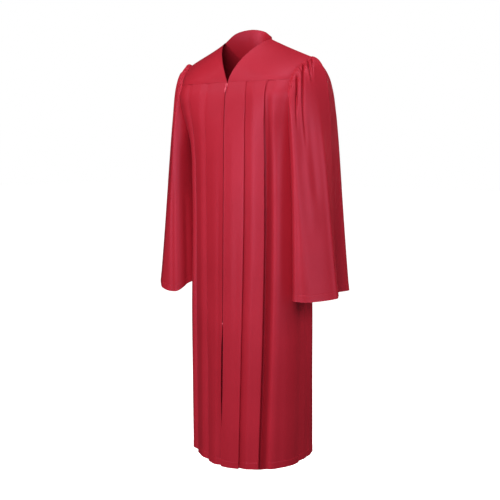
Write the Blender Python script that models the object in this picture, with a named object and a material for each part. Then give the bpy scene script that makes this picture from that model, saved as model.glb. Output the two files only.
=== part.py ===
"""Graduation gown in its worn form, hollow, held at the shoulders.

Metres, +Z up.  The front faces -Y, so the wearer's left is +X.  The origin lies between the two
shoulder points of the neckline, where the shoulders carry the gown.
"""
import math

import bmesh
import bpy
import numpy as np

# Cloth
WALL = 0.0012           # thickness of every cloth wall
SEAM_GAP = 0.0004       # clear space between two pieces at a seam
SHOULDER_GAP = 0.0010   # front and back yoke meet here at an angle
SHOULDER_SEAM = np.array([0.0, SHOULDER_GAP, 0.0])
YOKE_GAP = 0.0007       # and so do a yoke and the panel below it
ARMHOLE_GAP = 0.0010    # the sleeve lies over the edge of the armhole
HEM_Z = -1.370          # hem at the centre front
LEFT_HEM_RISE = 0.011   # how much higher it hangs at the left side
RIGHT_HEM_RISE = 0.024  # and at the right one
HEM_RISE_TOP = 1.000    # the rise starts this far down
UNDERARM_Z = -0.330     # lowest point of the armhole
YOKE_Z = -0.1370        # seam between yoke and lower panels

# Neck and shoulders, left side
V_POINT = (0.0012, -0.128, YOKE_Z)
NECK_POINT = (0.092, -0.022, 0.000)
SHOULDER_TIP = (0.242, -0.016, -0.064)

# Pulls of the curved edges at their lower and upper ends
NECKLINE_PULLS = ((0.050, -0.010, 0.150), (0.070, 0.190, 0.060))
SHOULDER_PULLS = ((0.151, 0.022, -0.074), (0.151, 0.022, -0.062))
FRONT_ARMHOLE_PULLS = ((0.0, 0.0, 0.085), (0.035, 0.055, 0.030))
BACK_ARMHOLE_PULLS = ((0.0, 0.0, 0.085), (0.035, -0.055, 0.030))

# Back neckline from the left neck point to the right one; it stands a little higher on the right
BACK_NECK = (
    (0.092, -0.022, 0.000),
    (0.070, 0.012, 0.010),
    (0.040, 0.045, 0.021),
    (0.000, 0.064, 0.040),
    (-0.040, 0.048, 0.046),
    (-0.072, 0.010, 0.032),
    (-0.092, -0.022, 0.000),
)

# Body sections: height, half width, depth in front and behind, squareness of the outline
BODY_COLUMNS = ("z", "half_width", "front", "back", "power")
BODY = (
    (-0.137, 0.236, 0.128, 0.122, 3.90),
    (-0.171, 0.233, 0.139, 0.134, 4.60),
    (-0.215, 0.233, 0.144, 0.142, 3.60),
    (-0.285, 0.221, 0.148, 0.148, 2.70),
    (-0.345, 0.211, 0.149, 0.150, 2.45),
    (-0.450, 0.207, 0.151, 0.153, 2.30),
    (-0.900, 0.208, 0.157, 0.162, 2.20),
    (HEM_Z, 0.200, 0.165, 0.186, 2.20),
)

# Back yoke between its edges
YOKE_BULGE = 0.010      # how far it rounds out
BULGE_FADE = 0.6        # share of its half width over which the rounding dies out to the armhole
SHOULDER_ARC = np.array([-0.480, 0.140, 0.110])     # its way off the shoulder tip
NECK_FADE = 2.2         # how soon the neck's form fades downward

# Armhole: how far its edge swings in front of and behind the side, degrees
ARMHOLE_FRONT = 33.5
ARMHOLE_BACK = 33.5
ARMHOLE_SQUARE = 3.0    # how late and how sharply its edge turns under the arm
TIP_OUT = np.array([0.34, 0.0, 0.94])   # way out of the gown at the shoulder tip

# Knife pleats of a front, by height: place of both outer edges along the cloth from centre front
PLEAT_COLUMNS = ("z", "edge_1", "edge_2", "fold_1", "fold_2", "recess", "ridge")
PLEATS = (
    (-0.137, 0.0735, 0.1490, 0.0014, 0.0014, 0.000, 0.000),
    (-0.200, 0.0785, 0.1480, 0.0015, 0.0016, 0.003, 0.000),
    (-0.285, 0.0770, 0.1435, 0.0016, 0.0018, 0.009, 0.000),
    (-0.400, 0.0760, 0.1425, 0.0018, 0.0021, 0.015, 0.003),
    (-0.600, 0.0750, 0.1430, 0.0020, 0.0026, 0.020, 0.005),
    (-0.900, 0.0705, 0.1405, 0.0023, 0.0030, 0.022, 0.006),
    (HEM_Z, 0.0630, 0.1310, 0.0026, 0.0034, 0.020, 0.006),
)
PLEAT_DEPTH = 0.026     # from an outer edge to the inner fold behind it
BAND_RISE = (-0.004, 0.034)     # past the first edge the band comes forward over this stretch
SIDE_RISE = (0.004, 0.036)      # past the second edge
RECESS_PLACE = 0.006    # middle and width of the hollow past the second edge
RECESS_WIDTH = 0.016
RIDGE_PLACE = 0.042     # middle and width of the swell past it
RIDGE_WIDTH = 0.022
SIDE_FADE = 0.030       # the folds die out over this width beside the side seam
TUCK_WIDTH = 0.030      # width of the right edge that falls back below the zip

# Soft folds of the back: place along the cloth from the centre back, width, height and the share
# of the panel's height at which each starts
BACK_FOLDS = (
    (-0.195, 0.024, 0.0070, 0.10),
    (-0.122, 0.026, 0.0085, 0.00),
    (-0.048, 0.022, 0.0075, 0.03),
    (0.024, 0.024, 0.0080, 0.00),
    (0.098, 0.026, 0.0085, 0.02),
    (0.176, 0.024, 0.0070, 0.12),
)
BACK_FOLD_GROWTH = 0.55     # share of the panel's height over which a fold grows
BACK_FOLD_SPREAD = 0.02     # how much further apart they stand at the hem
BACK_SETTLE = (0.003, 0.6)  # how far the cloth falls in between them, and by what share

# A sleeve, round from the shoulder tip by way of the front: how it leaves the armhole, its cuff
SLEEVE_COLUMNS = ("turn", "out_x", "out_y", "out_z", "cuff_x", "cuff_y", "cuff_z")
LEFT_SLEEVE = (
    (0.00, 0.100, 0.000, -0.020, 0.330, 0.008, -0.800),
    (0.09, 0.078, -0.016, -0.008, 0.338, -0.030, -0.806),
    (0.18, 0.036, -0.026, -0.010, 0.292, -0.092, -0.812),
    (0.28, 0.016, -0.024, -0.060, 0.240, -0.110, -0.811),
    (0.38, 0.010, -0.014, -0.090, 0.2175, -0.060, -0.806),
    (0.50, 0.005, 0.000, -0.110, 0.215, 0.000, -0.803),
    (0.62, 0.010, 0.014, -0.090, 0.222, 0.075, -0.800),
    (0.71, 0.016, 0.020, -0.060, 0.250, 0.120, -0.799),
    (0.81, 0.048, 0.018, 0.000, 0.305, 0.116, -0.798),
    (0.91, 0.092, 0.006, 0.010, 0.298, 0.050, -0.799),
)
# The right sleeve stands higher off the shoulder, and its cuff is turned further to the front
RIGHT_SLEEVE = (
    (0.00, 0.074, 0.000, 0.044, 0.343, -0.030, -0.798),
    (0.09, 0.050, -0.010, 0.044, 0.342, -0.070, -0.791),
    (0.18, 0.016, -0.014, 0.004, 0.296, -0.110, -0.817),
    (0.28, 0.010, -0.022, -0.060, 0.238, -0.108, -0.823),
    (0.38, 0.010, -0.014, -0.090, 0.2175, -0.060, -0.795),
    (0.50, 0.005, 0.000, -0.110, 0.215, 0.000, -0.800),
    (0.62, 0.010, 0.014, -0.090, 0.222, 0.070, -0.800),
    (0.71, 0.016, 0.020, -0.060, 0.250, 0.105, -0.799),
    (0.81, 0.036, 0.022, -0.016, 0.300, 0.092, -0.798),
    (0.91, 0.064, 0.010, 0.026, 0.322, 0.036, -0.799),
)
SLEEVE_DROP = 0.42      # how far above the cuff the cloth already hangs straight
SLEEVE_LEAN = 0.052     # how much nearer to the body its outer side is there
LEAN_FROM = (0.24, 0.32)    # cuff places between which the lean sets in
SLEEVE_CROWD = 1.6      # how much closer the columns stand over the gathered cap
RING_POWER = 1.35       # rings stand closer together near the armhole
GATHER_START = 0.012    # a gather reaches its full depth this far from the seam

# Gathers of the sleeve cap, as valleys: turn from the shoulder tip, width, depth and length
GATHERS = (
    (0.215, 0.011, 0.0040, 0.10),
    (0.165, 0.012, 0.0075, 0.19),
    (0.105, 0.011, 0.0070, 0.17),
    (0.060, 0.009, 0.0045, 0.09),
    (0.020, 0.010, 0.0055, 0.10),
    (0.970, 0.010, 0.0045, 0.10),
    (0.925, 0.011, 0.0060, 0.15),
    (0.875, 0.011, 0.0055, 0.13),
)

# Zip
ZIP_BOTTOM_Z = -0.900
TAPE_END_Z = -0.910
SLIT_TOP_Z = -0.912     # below this the front edges part
TAPE_HALF_WIDTH = 0.0130
TAPE_GAP = 0.0006
TAPE_START = 0.0015     # the tape starts this far below the yoke seam
TAPE_THICKNESS = 0.0010
CHAIN_HALF_WIDTH = 0.0011
CHAIN_FACE = -0.0002    # front of the chain, from the middle of the cloth outward
FRONT_EDGE = 0.0015     # each front edge stands this far from the centre, beside the chain
LAP = 0.0045            # how far the left edge moves over towards the right one at the hem
TUCK = 0.0060           # how far the right edge falls behind it there

# Slider and pull tab, in the slider's own frame: across, up the zip and out from the cloth
SLIDER_Z = -0.1470
SLIDER_HALF_WIDTH = 0.0040
SLIDER_HALF_HEIGHT = 0.0066
SLIDER_BACK = 0.0010
SLIDER_FACE = 0.0030
KEEL_HALF_WIDTH = 0.0008
KEEL_BACK = 0.0002
JOIN = 0.0005           # pieces of one solid reach this far into each other
KEEL_SHORT = 0.0010     # the keel ends this far inside the slider's ends
BRIDGE_HALF_WIDTH = 0.0009
# Outline of the bridge, as places up the zip and out from the cloth
BRIDGE_OUTER = ((0.0058, 0.0028), (0.0046, 0.0056), (-0.0030, 0.0056), (-0.0046, 0.0028))
BRIDGE_INNER = ((-0.0036, 0.0028), (-0.0026, 0.0048), (0.0041, 0.0048), (0.0048, 0.0028))
PIN_UP = -0.0018
PIN_OUT = 0.00395
PIN_RADIUS = 0.00055
TAB_THICKNESS = 0.0011
TAB_ARM_INNER = 0.0014
TAB_ARM_OUTER = 0.0026
TAB_ARM_LENGTH = 0.0052
TAB_HALF_WIDTH = 0.0038
TAB_LENGTH = 0.0220
STOP_HALF_WIDTH = 0.0022
STOP_HALF_HEIGHT = 0.0028
STOP_FACE = 0.0021

# Materials: colour, roughness, metallic
CRIMSON = ((0.42, 0.025, 0.050, 1.0), 0.62, 0.0)
ZIP_RED = ((0.30, 0.015, 0.032, 1.0), 0.50, 0.0)
SLIDER_RED = ((0.62, 0.12, 0.17, 1.0), 0.35, 0.2)


def smoothstep(value, low, high):
    t = np.clip((np.asarray(value, float) - low) / (high - low), 0.0, 1.0)
    return t * t * (3.0 - 2.0 * t)


def curve(knots, values, at, period=0.0):
    """Smooth line through the values at the knots; with a period it closes on itself."""
    knots = np.asarray(knots, float)
    values = np.asarray(values, float)
    if period:
        knots = np.concatenate([knots[-3:] - period, knots, knots[:3] + period])
        values = np.concatenate([values[-3:], values, values[:3]])
    rising = knots[-1] > knots[0]
    if not rising:
        knots = knots[::-1]
        values = values[::-1]
    at = np.asarray(at, float)
    slopes = np.gradient(values, knots, axis=0)
    i = np.clip(np.searchsorted(knots, at, side="right") - 1, 0, len(knots) - 2)
    span = knots[i + 1] - knots[i]
    t = np.clip((at - knots[i]) / span, 0.0, 1.0)
    if values.ndim > 1:
        t = t[..., None]
        span = span[..., None]
    return (values[i] * (1 + 2 * t) * (1 - t) ** 2 + slopes[i] * span * t * (1 - t) ** 2
            + values[i + 1] * t * t * (3 - 2 * t) + slopes[i + 1] * span * t * t * (t - 1))


def column(table, columns, name):
    return [row[columns.index(name)] for row in table]


def read(table, columns, name, at):
    """One column of a table at any height, smoothly between its rows."""
    return curve(column(table, columns, columns[0]), column(table, columns, name), at)


SECTION_POINTS = 241


def half_section(z, behind):
    """Half outline of the body at one height, from its centre to its side: x, y and length along it."""
    angle = np.linspace(0.0, math.pi / 2, SECTION_POINTS)
    power = 2.0 / read(BODY, BODY_COLUMNS, "power", z)
    depth = read(BODY, BODY_COLUMNS, "back" if behind else "front", z)
    x = read(BODY, BODY_COLUMNS, "half_width", z) * np.sin(angle) ** power
    y = depth * np.abs(np.cos(angle)) ** power
    y[-1] = 0.0
    if not behind:
        y = -y
    length = np.concatenate([[0.0], np.cumsum(np.hypot(np.diff(x), np.diff(y)))])
    return angle, x, y, length


def on_body(z, behind, along, lift):
    """Points at a length along the section from the centre, lifted outward; less than 0 is past it."""
    _, x, y, length = half_section(z, behind)
    along = np.asarray(along, float)
    dx = np.gradient(x, length)
    dy = np.gradient(y, length)
    outward = -1.0 if behind else 1.0
    nx = np.interp(along, length, outward * dy)
    ny = np.interp(along, length, -outward * dx)
    size = np.hypot(nx, ny)
    point_x = np.interp(along, length, x) + np.minimum(along, 0.0) + lift * nx / size
    point_y = np.interp(along, length, y) + lift * ny / size
    return np.stack([point_x, point_y, np.full_like(point_x, z)], axis=-1)


def armhole_length(z, behind):
    """Length along the section from the centre to the armhole edge, or to the side seam below it."""
    angle, _, _, length = half_section(z, behind)
    rise = np.clip((z - UNDERARM_Z) / (YOKE_Z - UNDERARM_Z), 0.0, 1.0)
    swing = ARMHOLE_BACK if behind else ARMHOLE_FRONT
    edge = math.pi / 2 - math.radians(swing) * math.sqrt(1.0 - (1.0 - rise) ** ARMHOLE_SQUARE)
    return float(np.interp(edge, angle, length))


def hermite(start, end, pulls, t):
    """Curve from start to end, leaving and arriving along its two pulls."""
    t = np.asarray(t, float)[:, None]
    start, end, start_pull, end_pull = (np.asarray(v, float) for v in (start, end, *pulls))
    return (start * (1 + 2 * t) * (1 - t) ** 2 + start_pull * t * (1 - t) ** 2
            + end * t * t * (3 - 2 * t) + end_pull * t * t * (t - 1))


def yoke_corner(behind):
    return on_body(YOKE_Z, behind, [armhole_length(YOKE_Z, behind)], 0.0)[0]


def upper_armhole(behind, t):
    """Armhole edge of a yoke, from its lower corner up to the shoulder tip."""
    tip = np.array(SHOULDER_TIP) + (SHOULDER_SEAM if behind else 0.0)
    return hermite(yoke_corner(behind), tip, BACK_ARMHOLE_PULLS if behind else FRONT_ARMHOLE_PULLS, t)


def neckline(t):
    """Front neckline, from the V point up to the neck point."""
    return hermite(V_POINT, NECK_POINT, NECKLINE_PULLS, t)


def back_neckline(t):
    """Back neckline, from the left neck point over the centre back to the right one."""
    return curve(np.linspace(0.0, 1.0, len(BACK_NECK)), BACK_NECK, t)


def shoulder_line(t):
    return hermite(NECK_POINT, SHOULDER_TIP, SHOULDER_PULLS, t)


def coons(bottom, top, near, far):
    """Grid over four edges; near and far run from the bottom edge to the top edge."""
    rows = len(near)
    columns = len(bottom)
    u = np.linspace(0, 1, columns)[None, :, None]
    v = np.linspace(0, 1, rows)[:, None, None]
    across = bottom[None] * (1 - v) + top[None] * v
    up = near[:, None] * (1 - u) + far[:, None] * u
    corners = ((bottom[0] * (1 - u) + bottom[-1] * u) * (1 - v) + (top[0] * (1 - u) + top[-1] * u) * v)
    return across + up - corners


def mirrored(grid):
    """The same grid on the wearer's right."""
    return grid * np.array([-1.0, 1.0, 1.0])


def front_yoke_grid(columns=11, rows=10):
    t = np.linspace(0, 1, rows)
    along = np.linspace(0, 1, columns) * armhole_length(YOKE_Z, False)
    bottom = on_body(YOKE_Z, False, along, 0.0)
    bottom[:, 2] += YOKE_GAP
    near = neckline(t)
    near[0] = bottom[0] + np.array([V_POINT[0], 0.0, 0.0])
    bottom[:, 0] += V_POINT[0] * (1 - np.linspace(0, 1, columns))
    far = upper_armhole(False, t)
    far[0] = bottom[-1]
    top = shoulder_line(np.linspace(0, 1, columns))
    return coons(bottom, top, near, far)


def back_yoke_grid(columns=21, rows=9):
    """Back yoke, from the left armhole over the centre back to the right one."""
    end = armhole_length(YOKE_Z, True)
    along = np.linspace(end, -end, columns)
    bottom = on_body(YOKE_Z, True, np.abs(along), 0.0)
    bottom[:, 0] *= np.where(along < 0, -1.0, 1.0)
    bottom[:, 2] += YOKE_GAP
    side = columns // 3
    neck = back_neckline(np.linspace(0, 1, columns - 2 * side))
    shoulder = shoulder_line(np.linspace(1, 0, side + 1))[:-1]
    top = np.concatenate([shoulder, neck, mirrored(shoulder)[::-1]])
    at_shoulder = smoothstep(np.abs(top[:, 0]), BACK_NECK[1][0], NECK_POINT[0])[:, None]
    top = top + SHOULDER_SEAM * at_shoulder
    v = np.linspace(0, 1, rows)
    left = upper_armhole(True, v)
    left[0] = bottom[0]
    right = mirrored(left)
    arc = (SHOULDER_ARC, SHOULDER_ARC * np.array([1.0, -1.0, -1.0]))
    smooth = hermite(top[0], top[-1], arc, np.linspace(0, 1, columns))
    flat = coons(bottom, smooth, left, right)
    flat += (top - smooth)[None] * (v ** NECK_FADE)[:, None, None]
    inside = smoothstep(1 - np.abs(along) / end, 0.0, BULGE_FADE)
    bulge = YOKE_BULGE * np.sin(math.pi * v)[:, None] * inside
    flat[:, :, 1] += bulge
    return flat


def pleat_path(z, end, columns, lap, tuck):
    """One front section: length along the body and lift, through both pleats to the edge at end."""
    edges = (read(PLEATS, PLEAT_COLUMNS, "edge_1", z), read(PLEATS, PLEAT_COLUMNS, "edge_2", z))
    folds = (read(PLEATS, PLEAT_COLUMNS, "fold_1", z), read(PLEATS, PLEAT_COLUMNS, "fold_2", z))
    recess = read(PLEATS, PLEAT_COLUMNS, "recess", z)
    ridge = read(PLEATS, PLEAT_COLUMNS, "ridge", z)
    turn = np.linspace(0.0, math.pi, columns["fold"])
    slit = smoothstep(-z, -SLIT_TOP_Z, -HEM_Z)
    along = [np.linspace(FRONT_EDGE - lap * slit, edges[0] - folds[0], columns["band"])[:-1]]
    lift = [-tuck * slit * (1 - smoothstep(along[0], 0.0, TUCK_WIDTH))]
    for number, (edge, fold) in enumerate(zip(edges, folds)):
        inner = edge - PLEAT_DEPTH
        along.append(edge - fold + fold * np.sin(turn))
        lift.append(-fold + fold * np.cos(turn))
        along.append(inner + fold - fold * np.sin(turn))
        lift.append(-3 * fold + fold * np.cos(turn))
        floor = -4 * fold
        start = inner + fold
        if number == 0:
            stop = edges[1] - folds[1]
            steps = columns["band"] + 2
            place = np.linspace(start, stop, steps)[1:-1]
            rise = smoothstep(place - edge, *BAND_RISE)
            along.append(place)
            lift.append(floor * (1 - rise))
        else:
            place = np.linspace(start, end, columns["side"] + 1)[1:]
            rise = smoothstep(place - edge, *SIDE_RISE)
            dip = recess * np.exp(-((place - edge - RECESS_PLACE) / RECESS_WIDTH) ** 2)
            swell = ridge * np.exp(-((place - edge - RIDGE_PLACE) / RIDGE_WIDTH) ** 2)
            free = smoothstep(end - place, 0.0, SIDE_FADE)
            along.append(place)
            lift.append((floor * (1 - rise) - dip + swell) * free)
    return np.concatenate(along), np.concatenate(lift)


PANEL_COLUMNS = {"band": 5, "fold": 5, "side": 11}
PANEL_HEIGHTS = (YOKE_Z, -0.160, -0.190, -0.225, -0.260, -0.290, -0.311, -0.324, UNDERARM_Z, -0.385,
                 -0.470, -0.600, -0.750, SLIT_TOP_Z, -1.060, -1.210, HEM_Z)


def front_grid(lap, tuck, rise, columns=PANEL_COLUMNS, heights=PANEL_HEIGHTS):
    rows = []
    for z in heights:
        end = armhole_length(z, False) - SEAM_GAP / 2
        along, lift = pleat_path(z, end, columns, lap, tuck)
        rows.append(on_body(z, False, along, lift))
    return hem_raised(np.array(rows), rise)


def hem_raised(grid, rise):
    """The panel with its hem drawn up toward the sides."""
    side = smoothstep(np.abs(grid[:, :, 0]), 0.0, BODY[-1][1])
    low = smoothstep(-grid[:, :, 2], HEM_RISE_TOP, -HEM_Z)
    grid[:, :, 2] += rise * side * low
    return grid


def back_lift(place, z):
    """Soft folds that grow downward from the back yoke."""
    lift = np.zeros_like(place)
    down = (YOKE_Z - z) / (YOKE_Z - HEM_Z)
    for centre, width, height, start in BACK_FOLDS:
        grow = smoothstep(down, start, start + BACK_FOLD_GROWTH)
        middle = centre * (1 + BACK_FOLD_SPREAD * down)
        lift += height * grow * np.exp(-((place - middle) / width) ** 2)
    fall, share = BACK_SETTLE
    return lift - fall * smoothstep(down, 0.0, share)


def back_grid(columns=33, heights=PANEL_HEIGHTS):
    rows = []
    for z in heights:
        end = armhole_length(z, True) - SEAM_GAP / 2
        place = np.linspace(-end, end, columns)
        free = smoothstep(end - np.abs(place), 0.0, SIDE_FADE)
        lift = back_lift(place, z) * free
        row = on_body(z, True, np.abs(place), lift)
        row[:, 0] *= np.where(place < 0, -1.0, 1.0)
        rows.append(row)
    grid = np.array(rows)
    return hem_raised(grid, np.where(grid[:, :, 0] > 0, LEFT_HEM_RISE, RIGHT_HEM_RISE))


def armhole_line(turns):
    """Armhole edge and the direction out of the body there, at turns from the shoulder tip."""
    halves = []
    for behind in (False, True):
        upper = upper_armhole(behind, np.linspace(1, 0, 41))
        heights = UNDERARM_Z + (YOKE_Z - UNDERARM_Z) * (1 - np.sin(np.linspace(0, math.pi / 2, 41)[1:]))
        lower = []
        lower_out = []
        for z in heights:
            end = armhole_length(z, behind)
            point = on_body(z, behind, [end, end], np.array([0.0, 1.0]))
            lower.append(point[0])
            lower_out.append(point[1] - point[0])
        blend = smoothstep(np.linspace(0, 1, 41), 0, 1)[:, None]
        upper_out = TIP_OUT * (1 - blend) + lower_out[0] * blend
        points = np.concatenate([upper, lower])
        outs = np.concatenate([upper_out, lower_out])
        outs /= np.linalg.norm(outs, axis=1)[:, None]
        length = np.concatenate([[0], np.cumsum(np.linalg.norm(np.diff(points, axis=0), axis=1))])
        halves.append((length / length[-1] * 0.5, points, outs))
    points = []
    outs = []
    for turn in turns % 1.0:
        behind = turn > 0.5
        place, line, out = halves[1 if behind else 0]
        at = 1.0 - turn if behind else turn
        points.append([np.interp(at, place, line[:, k]) for k in range(3)])
        outs.append([np.interp(at, place, out[:, k]) for k in range(3)])
    outs = np.array(outs)
    return np.array(points), outs / np.linalg.norm(outs, axis=1)[:, None]


def sleeve_turns(columns):
    """Turns round the sleeve, closer together over the gathered cap."""
    even = np.linspace(0.0, 1.0, 2001)
    crowd = 1.0 + SLEEVE_CROWD * (smoothstep(np.cos(2 * math.pi * even), -0.2, 0.5))
    total = np.concatenate([[0.0], np.cumsum((crowd[1:] + crowd[:-1]) / 2)])
    return np.interp(np.linspace(0, total[-1], columns + 1)[:-1], total, even)


def sleeve_grid(table, columns=44, rows=14):
    """A sleeve as rings from the armhole to the cuff, in the left sleeve's place."""
    turns = sleeve_turns(columns)
    start, outward = armhole_line(turns)
    start = start + outward * (WALL + ARMHOLE_GAP)
    knots = column(table, SLEEVE_COLUMNS, "turn")
    leave = curve(knots, [row[1:4] for row in table], turns, period=1.0)
    cuff = curve(knots, [row[4:7] for row in table], turns, period=1.0)
    above = cuff + np.array([0.0, 0.0, SLEEVE_DROP])
    above[:, 0] -= SLEEVE_LEAN * smoothstep(cuff[:, 0], *LEAN_FROM)
    along = np.linspace(0.0, 1.0, rows) ** RING_POWER
    grid = []
    for t in along:
        ring = (start * (1 - t) ** 3 + 3 * (start + leave) * t * (1 - t) ** 2
                + 3 * above * t * t * (1 - t) + cuff * t ** 3)
        grid.append(ring)
    grid = np.array(grid)
    normal = grid_normals(grid, True)
    reach = np.concatenate([np.zeros((1, columns)),
                            np.cumsum(np.linalg.norm(np.diff(grid, axis=0), axis=2), axis=0)])
    push = np.zeros(grid.shape[:2])
    for turn, width, depth, length in GATHERS:
        gap = (turns - turn + 0.5) % 1.0 - 0.5
        across = np.exp(-(gap / width) ** 2)[None, :]
        down = smoothstep(reach, 0.0, GATHER_START) * (1 - smoothstep(reach, 0.3 * length, length))
        push -= depth * across * down
    return grid + normal * push[:, :, None]


def grid_normals(grid, closed):
    """Unit directions square to a grid, by its rows and columns."""
    if closed:
        around = np.roll(grid, -1, axis=1) - np.roll(grid, 1, axis=1)
    else:
        around = np.gradient(grid, axis=1)
    down = np.gradient(grid, axis=0)
    normal = np.cross(around, down)
    size = np.linalg.norm(normal, axis=2)[:, :, None]
    return normal / np.maximum(size, 1e-12)


def wall(name, grid, material, closed=False, thickness=WALL):
    """A closed cloth wall: the grid moved to both sides by half its thickness, with rims."""
    normal = grid_normals(grid, closed)
    rows, columns = grid.shape[:2]
    outer = grid + normal * thickness / 2
    inner = grid - normal * thickness / 2
    points = np.concatenate([outer.reshape(-1, 3), inner.reshape(-1, 3)])
    half = rows * columns
    faces = []
    last = columns if closed else columns - 1
    for r in range(rows - 1):
        for c in range(last):
            d = (c + 1) % columns
            a, b = r * columns + c, r * columns + d
            e, f = (r + 1) * columns + d, (r + 1) * columns + c
            faces.append((a, b, e, f))
            faces.append((half + a, half + f, half + e, half + b))
    for c in range(last):
        d = (c + 1) % columns
        low = (rows - 1) * columns
        faces.append((c, half + c, half + d, d))
        faces.append((low + d, half + low + d, half + low + c, low + c))
    if not closed:
        for r in range(rows - 1):
            a, b = r * columns, (r + 1) * columns
            faces.append((a, b, half + b, half + a))
            a, b = a + columns - 1, b + columns - 1
            faces.append((b, a, half + a, half + b))
    return add_mesh(name, points, faces, material)


def add_mesh(name, points, faces, material):
    mesh = bpy.data.meshes.new(name)
    mesh.from_pydata([tuple(map(float, p)) for p in points], [], faces)
    mesh.validate()
    mesh.update()
    mesh.shade_smooth()
    mesh.set_sharp_from_angle(angle=math.radians(50))
    mesh.materials.append(material)
    piece = bpy.data.objects.new(name, mesh)
    bpy.context.scene.collection.objects.link(piece)
    return piece


def make_material(name, look):
    colour, roughness, metallic = look
    material = bpy.data.materials.new(name)
    material.use_nodes = True
    shader = material.node_tree.nodes["Principled BSDF"]
    shader.inputs["Base Color"].default_value = colour
    shader.inputs["Roughness"].default_value = roughness
    shader.inputs["Metallic"].default_value = metallic
    return material


def extruded(name, outline, low, high):
    """Closed prism: an outline in the plane of up and out, drawn across from low to high."""
    count = len(outline)
    points = [(across, -out, up) for across in (low, high) for up, out in outline]
    faces = [tuple(range(count)), tuple(range(2 * count - 1, count - 1, -1))]
    for k in range(count):
        n = (k + 1) % count
        faces.append((n, k, count + k, count + n))
    mesh = bpy.data.meshes.new(name)
    mesh.from_pydata(points, [], faces)
    shape = bmesh.new()
    shape.from_mesh(mesh)
    bmesh.ops.recalc_face_normals(shape, faces=shape.faces)
    shape.to_mesh(mesh)
    shape.free()
    piece = bpy.data.objects.new(name, mesh)
    bpy.context.scene.collection.objects.link(piece)
    return piece


def rectangle(up_low, up_high, out_low, out_high):
    return ((up_low, out_low), (up_high, out_low), (up_high, out_high), (up_low, out_high))


def disc(up, out, radius, sides=16):
    angles = [2 * math.pi * k / sides for k in range(sides)]
    return tuple((up + radius * math.cos(a), out + radius * math.sin(a)) for a in angles)


def joined(name, pieces, material):
    """One solid from overlapping ones."""
    base = pieces[0]
    for other in pieces[1:]:
        cut = base.modifiers.new("join", "BOOLEAN")
        cut.operation = "UNION"
        cut.object = other
    graph = bpy.context.evaluated_depsgraph_get()
    mesh = bpy.data.meshes.new_from_object(base.evaluated_get(graph))
    for piece in pieces:
        bpy.data.objects.remove(piece, do_unlink=True)
    mesh.materials.clear()
    mesh.materials.append(material)
    result = bpy.data.objects.new(name, mesh)
    bpy.context.scene.collection.objects.link(result)
    return result


def front_line(z):
    return np.array([0.0, -float(read(BODY, BODY_COLUMNS, "front", z)), z])


def zip_frame(z):
    """A place on the centre front: its point, the way up along the cloth and the way out of it."""
    up = front_line(z + 0.006) - front_line(z - 0.006)
    up /= np.linalg.norm(up)
    out = np.array([0.0, -up[2], up[1]])
    return front_line(z), up, out


def seat(piece, z, up_shift=0.0, out_shift=0.0):
    """Set a piece on the centre front, turned to the slope of the cloth."""
    point, up, out = zip_frame(z)
    piece.location = point + up * up_shift + out * out_shift
    piece.rotation_euler = (-math.atan2(up[1], up[2]), 0.0, 0.0)


def zip_tape(material):
    """Tape behind the front edges with the chain standing up between them."""
    back = -WALL / 2 - TAPE_GAP - TAPE_THICKNESS
    face = back + TAPE_THICKNESS
    ring = ((-TAPE_HALF_WIDTH, back), (TAPE_HALF_WIDTH, back), (TAPE_HALF_WIDTH, face),
            (CHAIN_HALF_WIDTH, face), (CHAIN_HALF_WIDTH, CHAIN_FACE), (-CHAIN_HALF_WIDTH, CHAIN_FACE),
            (-CHAIN_HALF_WIDTH, face), (-TAPE_HALF_WIDTH, face))
    heights = [z for z in PANEL_HEIGHTS if z > TAPE_END_Z] + [TAPE_END_Z]
    heights[0] -= TAPE_START
    points = []
    for z in heights:
        middle, _, out = zip_frame(z)
        points += [middle + np.array([across, 0.0, 0.0]) + out * lift for across, lift in ring]
    count = len(ring)
    faces = [tuple(range(count)), tuple(range(len(points) - 1, len(points) - count - 1, -1))]
    for r in range(len(heights) - 1):
        for k in range(count):
            n = (k + 1) % count
            low = r * count
            faces.append((low + n, low + k, low + count + k, low + count + n))
    tape = add_mesh("zip_tape", points, faces, material)
    shape = bmesh.new()
    shape.from_mesh(tape.data)
    bmesh.ops.recalc_face_normals(shape, faces=shape.faces)
    shape.to_mesh(tape.data)
    shape.free()
    return tape


def zip_slider(material):
    h = SLIDER_HALF_HEIGHT
    body = extruded("body", rectangle(-h, h, SLIDER_BACK, SLIDER_FACE), -SLIDER_HALF_WIDTH, SLIDER_HALF_WIDTH)
    keel = extruded("keel", rectangle(KEEL_SHORT - h, h - KEEL_SHORT, KEEL_BACK, SLIDER_BACK + JOIN),
                    -KEEL_HALF_WIDTH, KEEL_HALF_WIDTH)
    bridge = extruded("bridge", BRIDGE_OUTER + BRIDGE_INNER, -BRIDGE_HALF_WIDTH, BRIDGE_HALF_WIDTH)
    slider = joined("zip_slider", [body, keel, bridge], material)
    seat(slider, SLIDER_Z)
    return slider


def zip_pull(material):
    """Pull tab; its origin lies on the pin that turns in the slider's bridge."""
    half = TAB_THICKNESS / 2
    pin = extruded("pin", disc(0.0, 0.0, PIN_RADIUS), -TAB_ARM_OUTER, TAB_ARM_OUTER)
    arm = rectangle(-TAB_ARM_LENGTH - JOIN, JOIN, -half, half)
    right = extruded("right", arm, -TAB_ARM_OUTER, -TAB_ARM_INNER)
    left = extruded("left", arm, TAB_ARM_INNER, TAB_ARM_OUTER)
    plate = extruded("plate", rectangle(-TAB_LENGTH, -TAB_ARM_LENGTH, -half, half),
                     -TAB_HALF_WIDTH, TAB_HALF_WIDTH)
    pull = joined("zip_pull", [plate, right, left, pin], material)
    seat(pull, SLIDER_Z, PIN_UP, PIN_OUT)
    return pull


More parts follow.
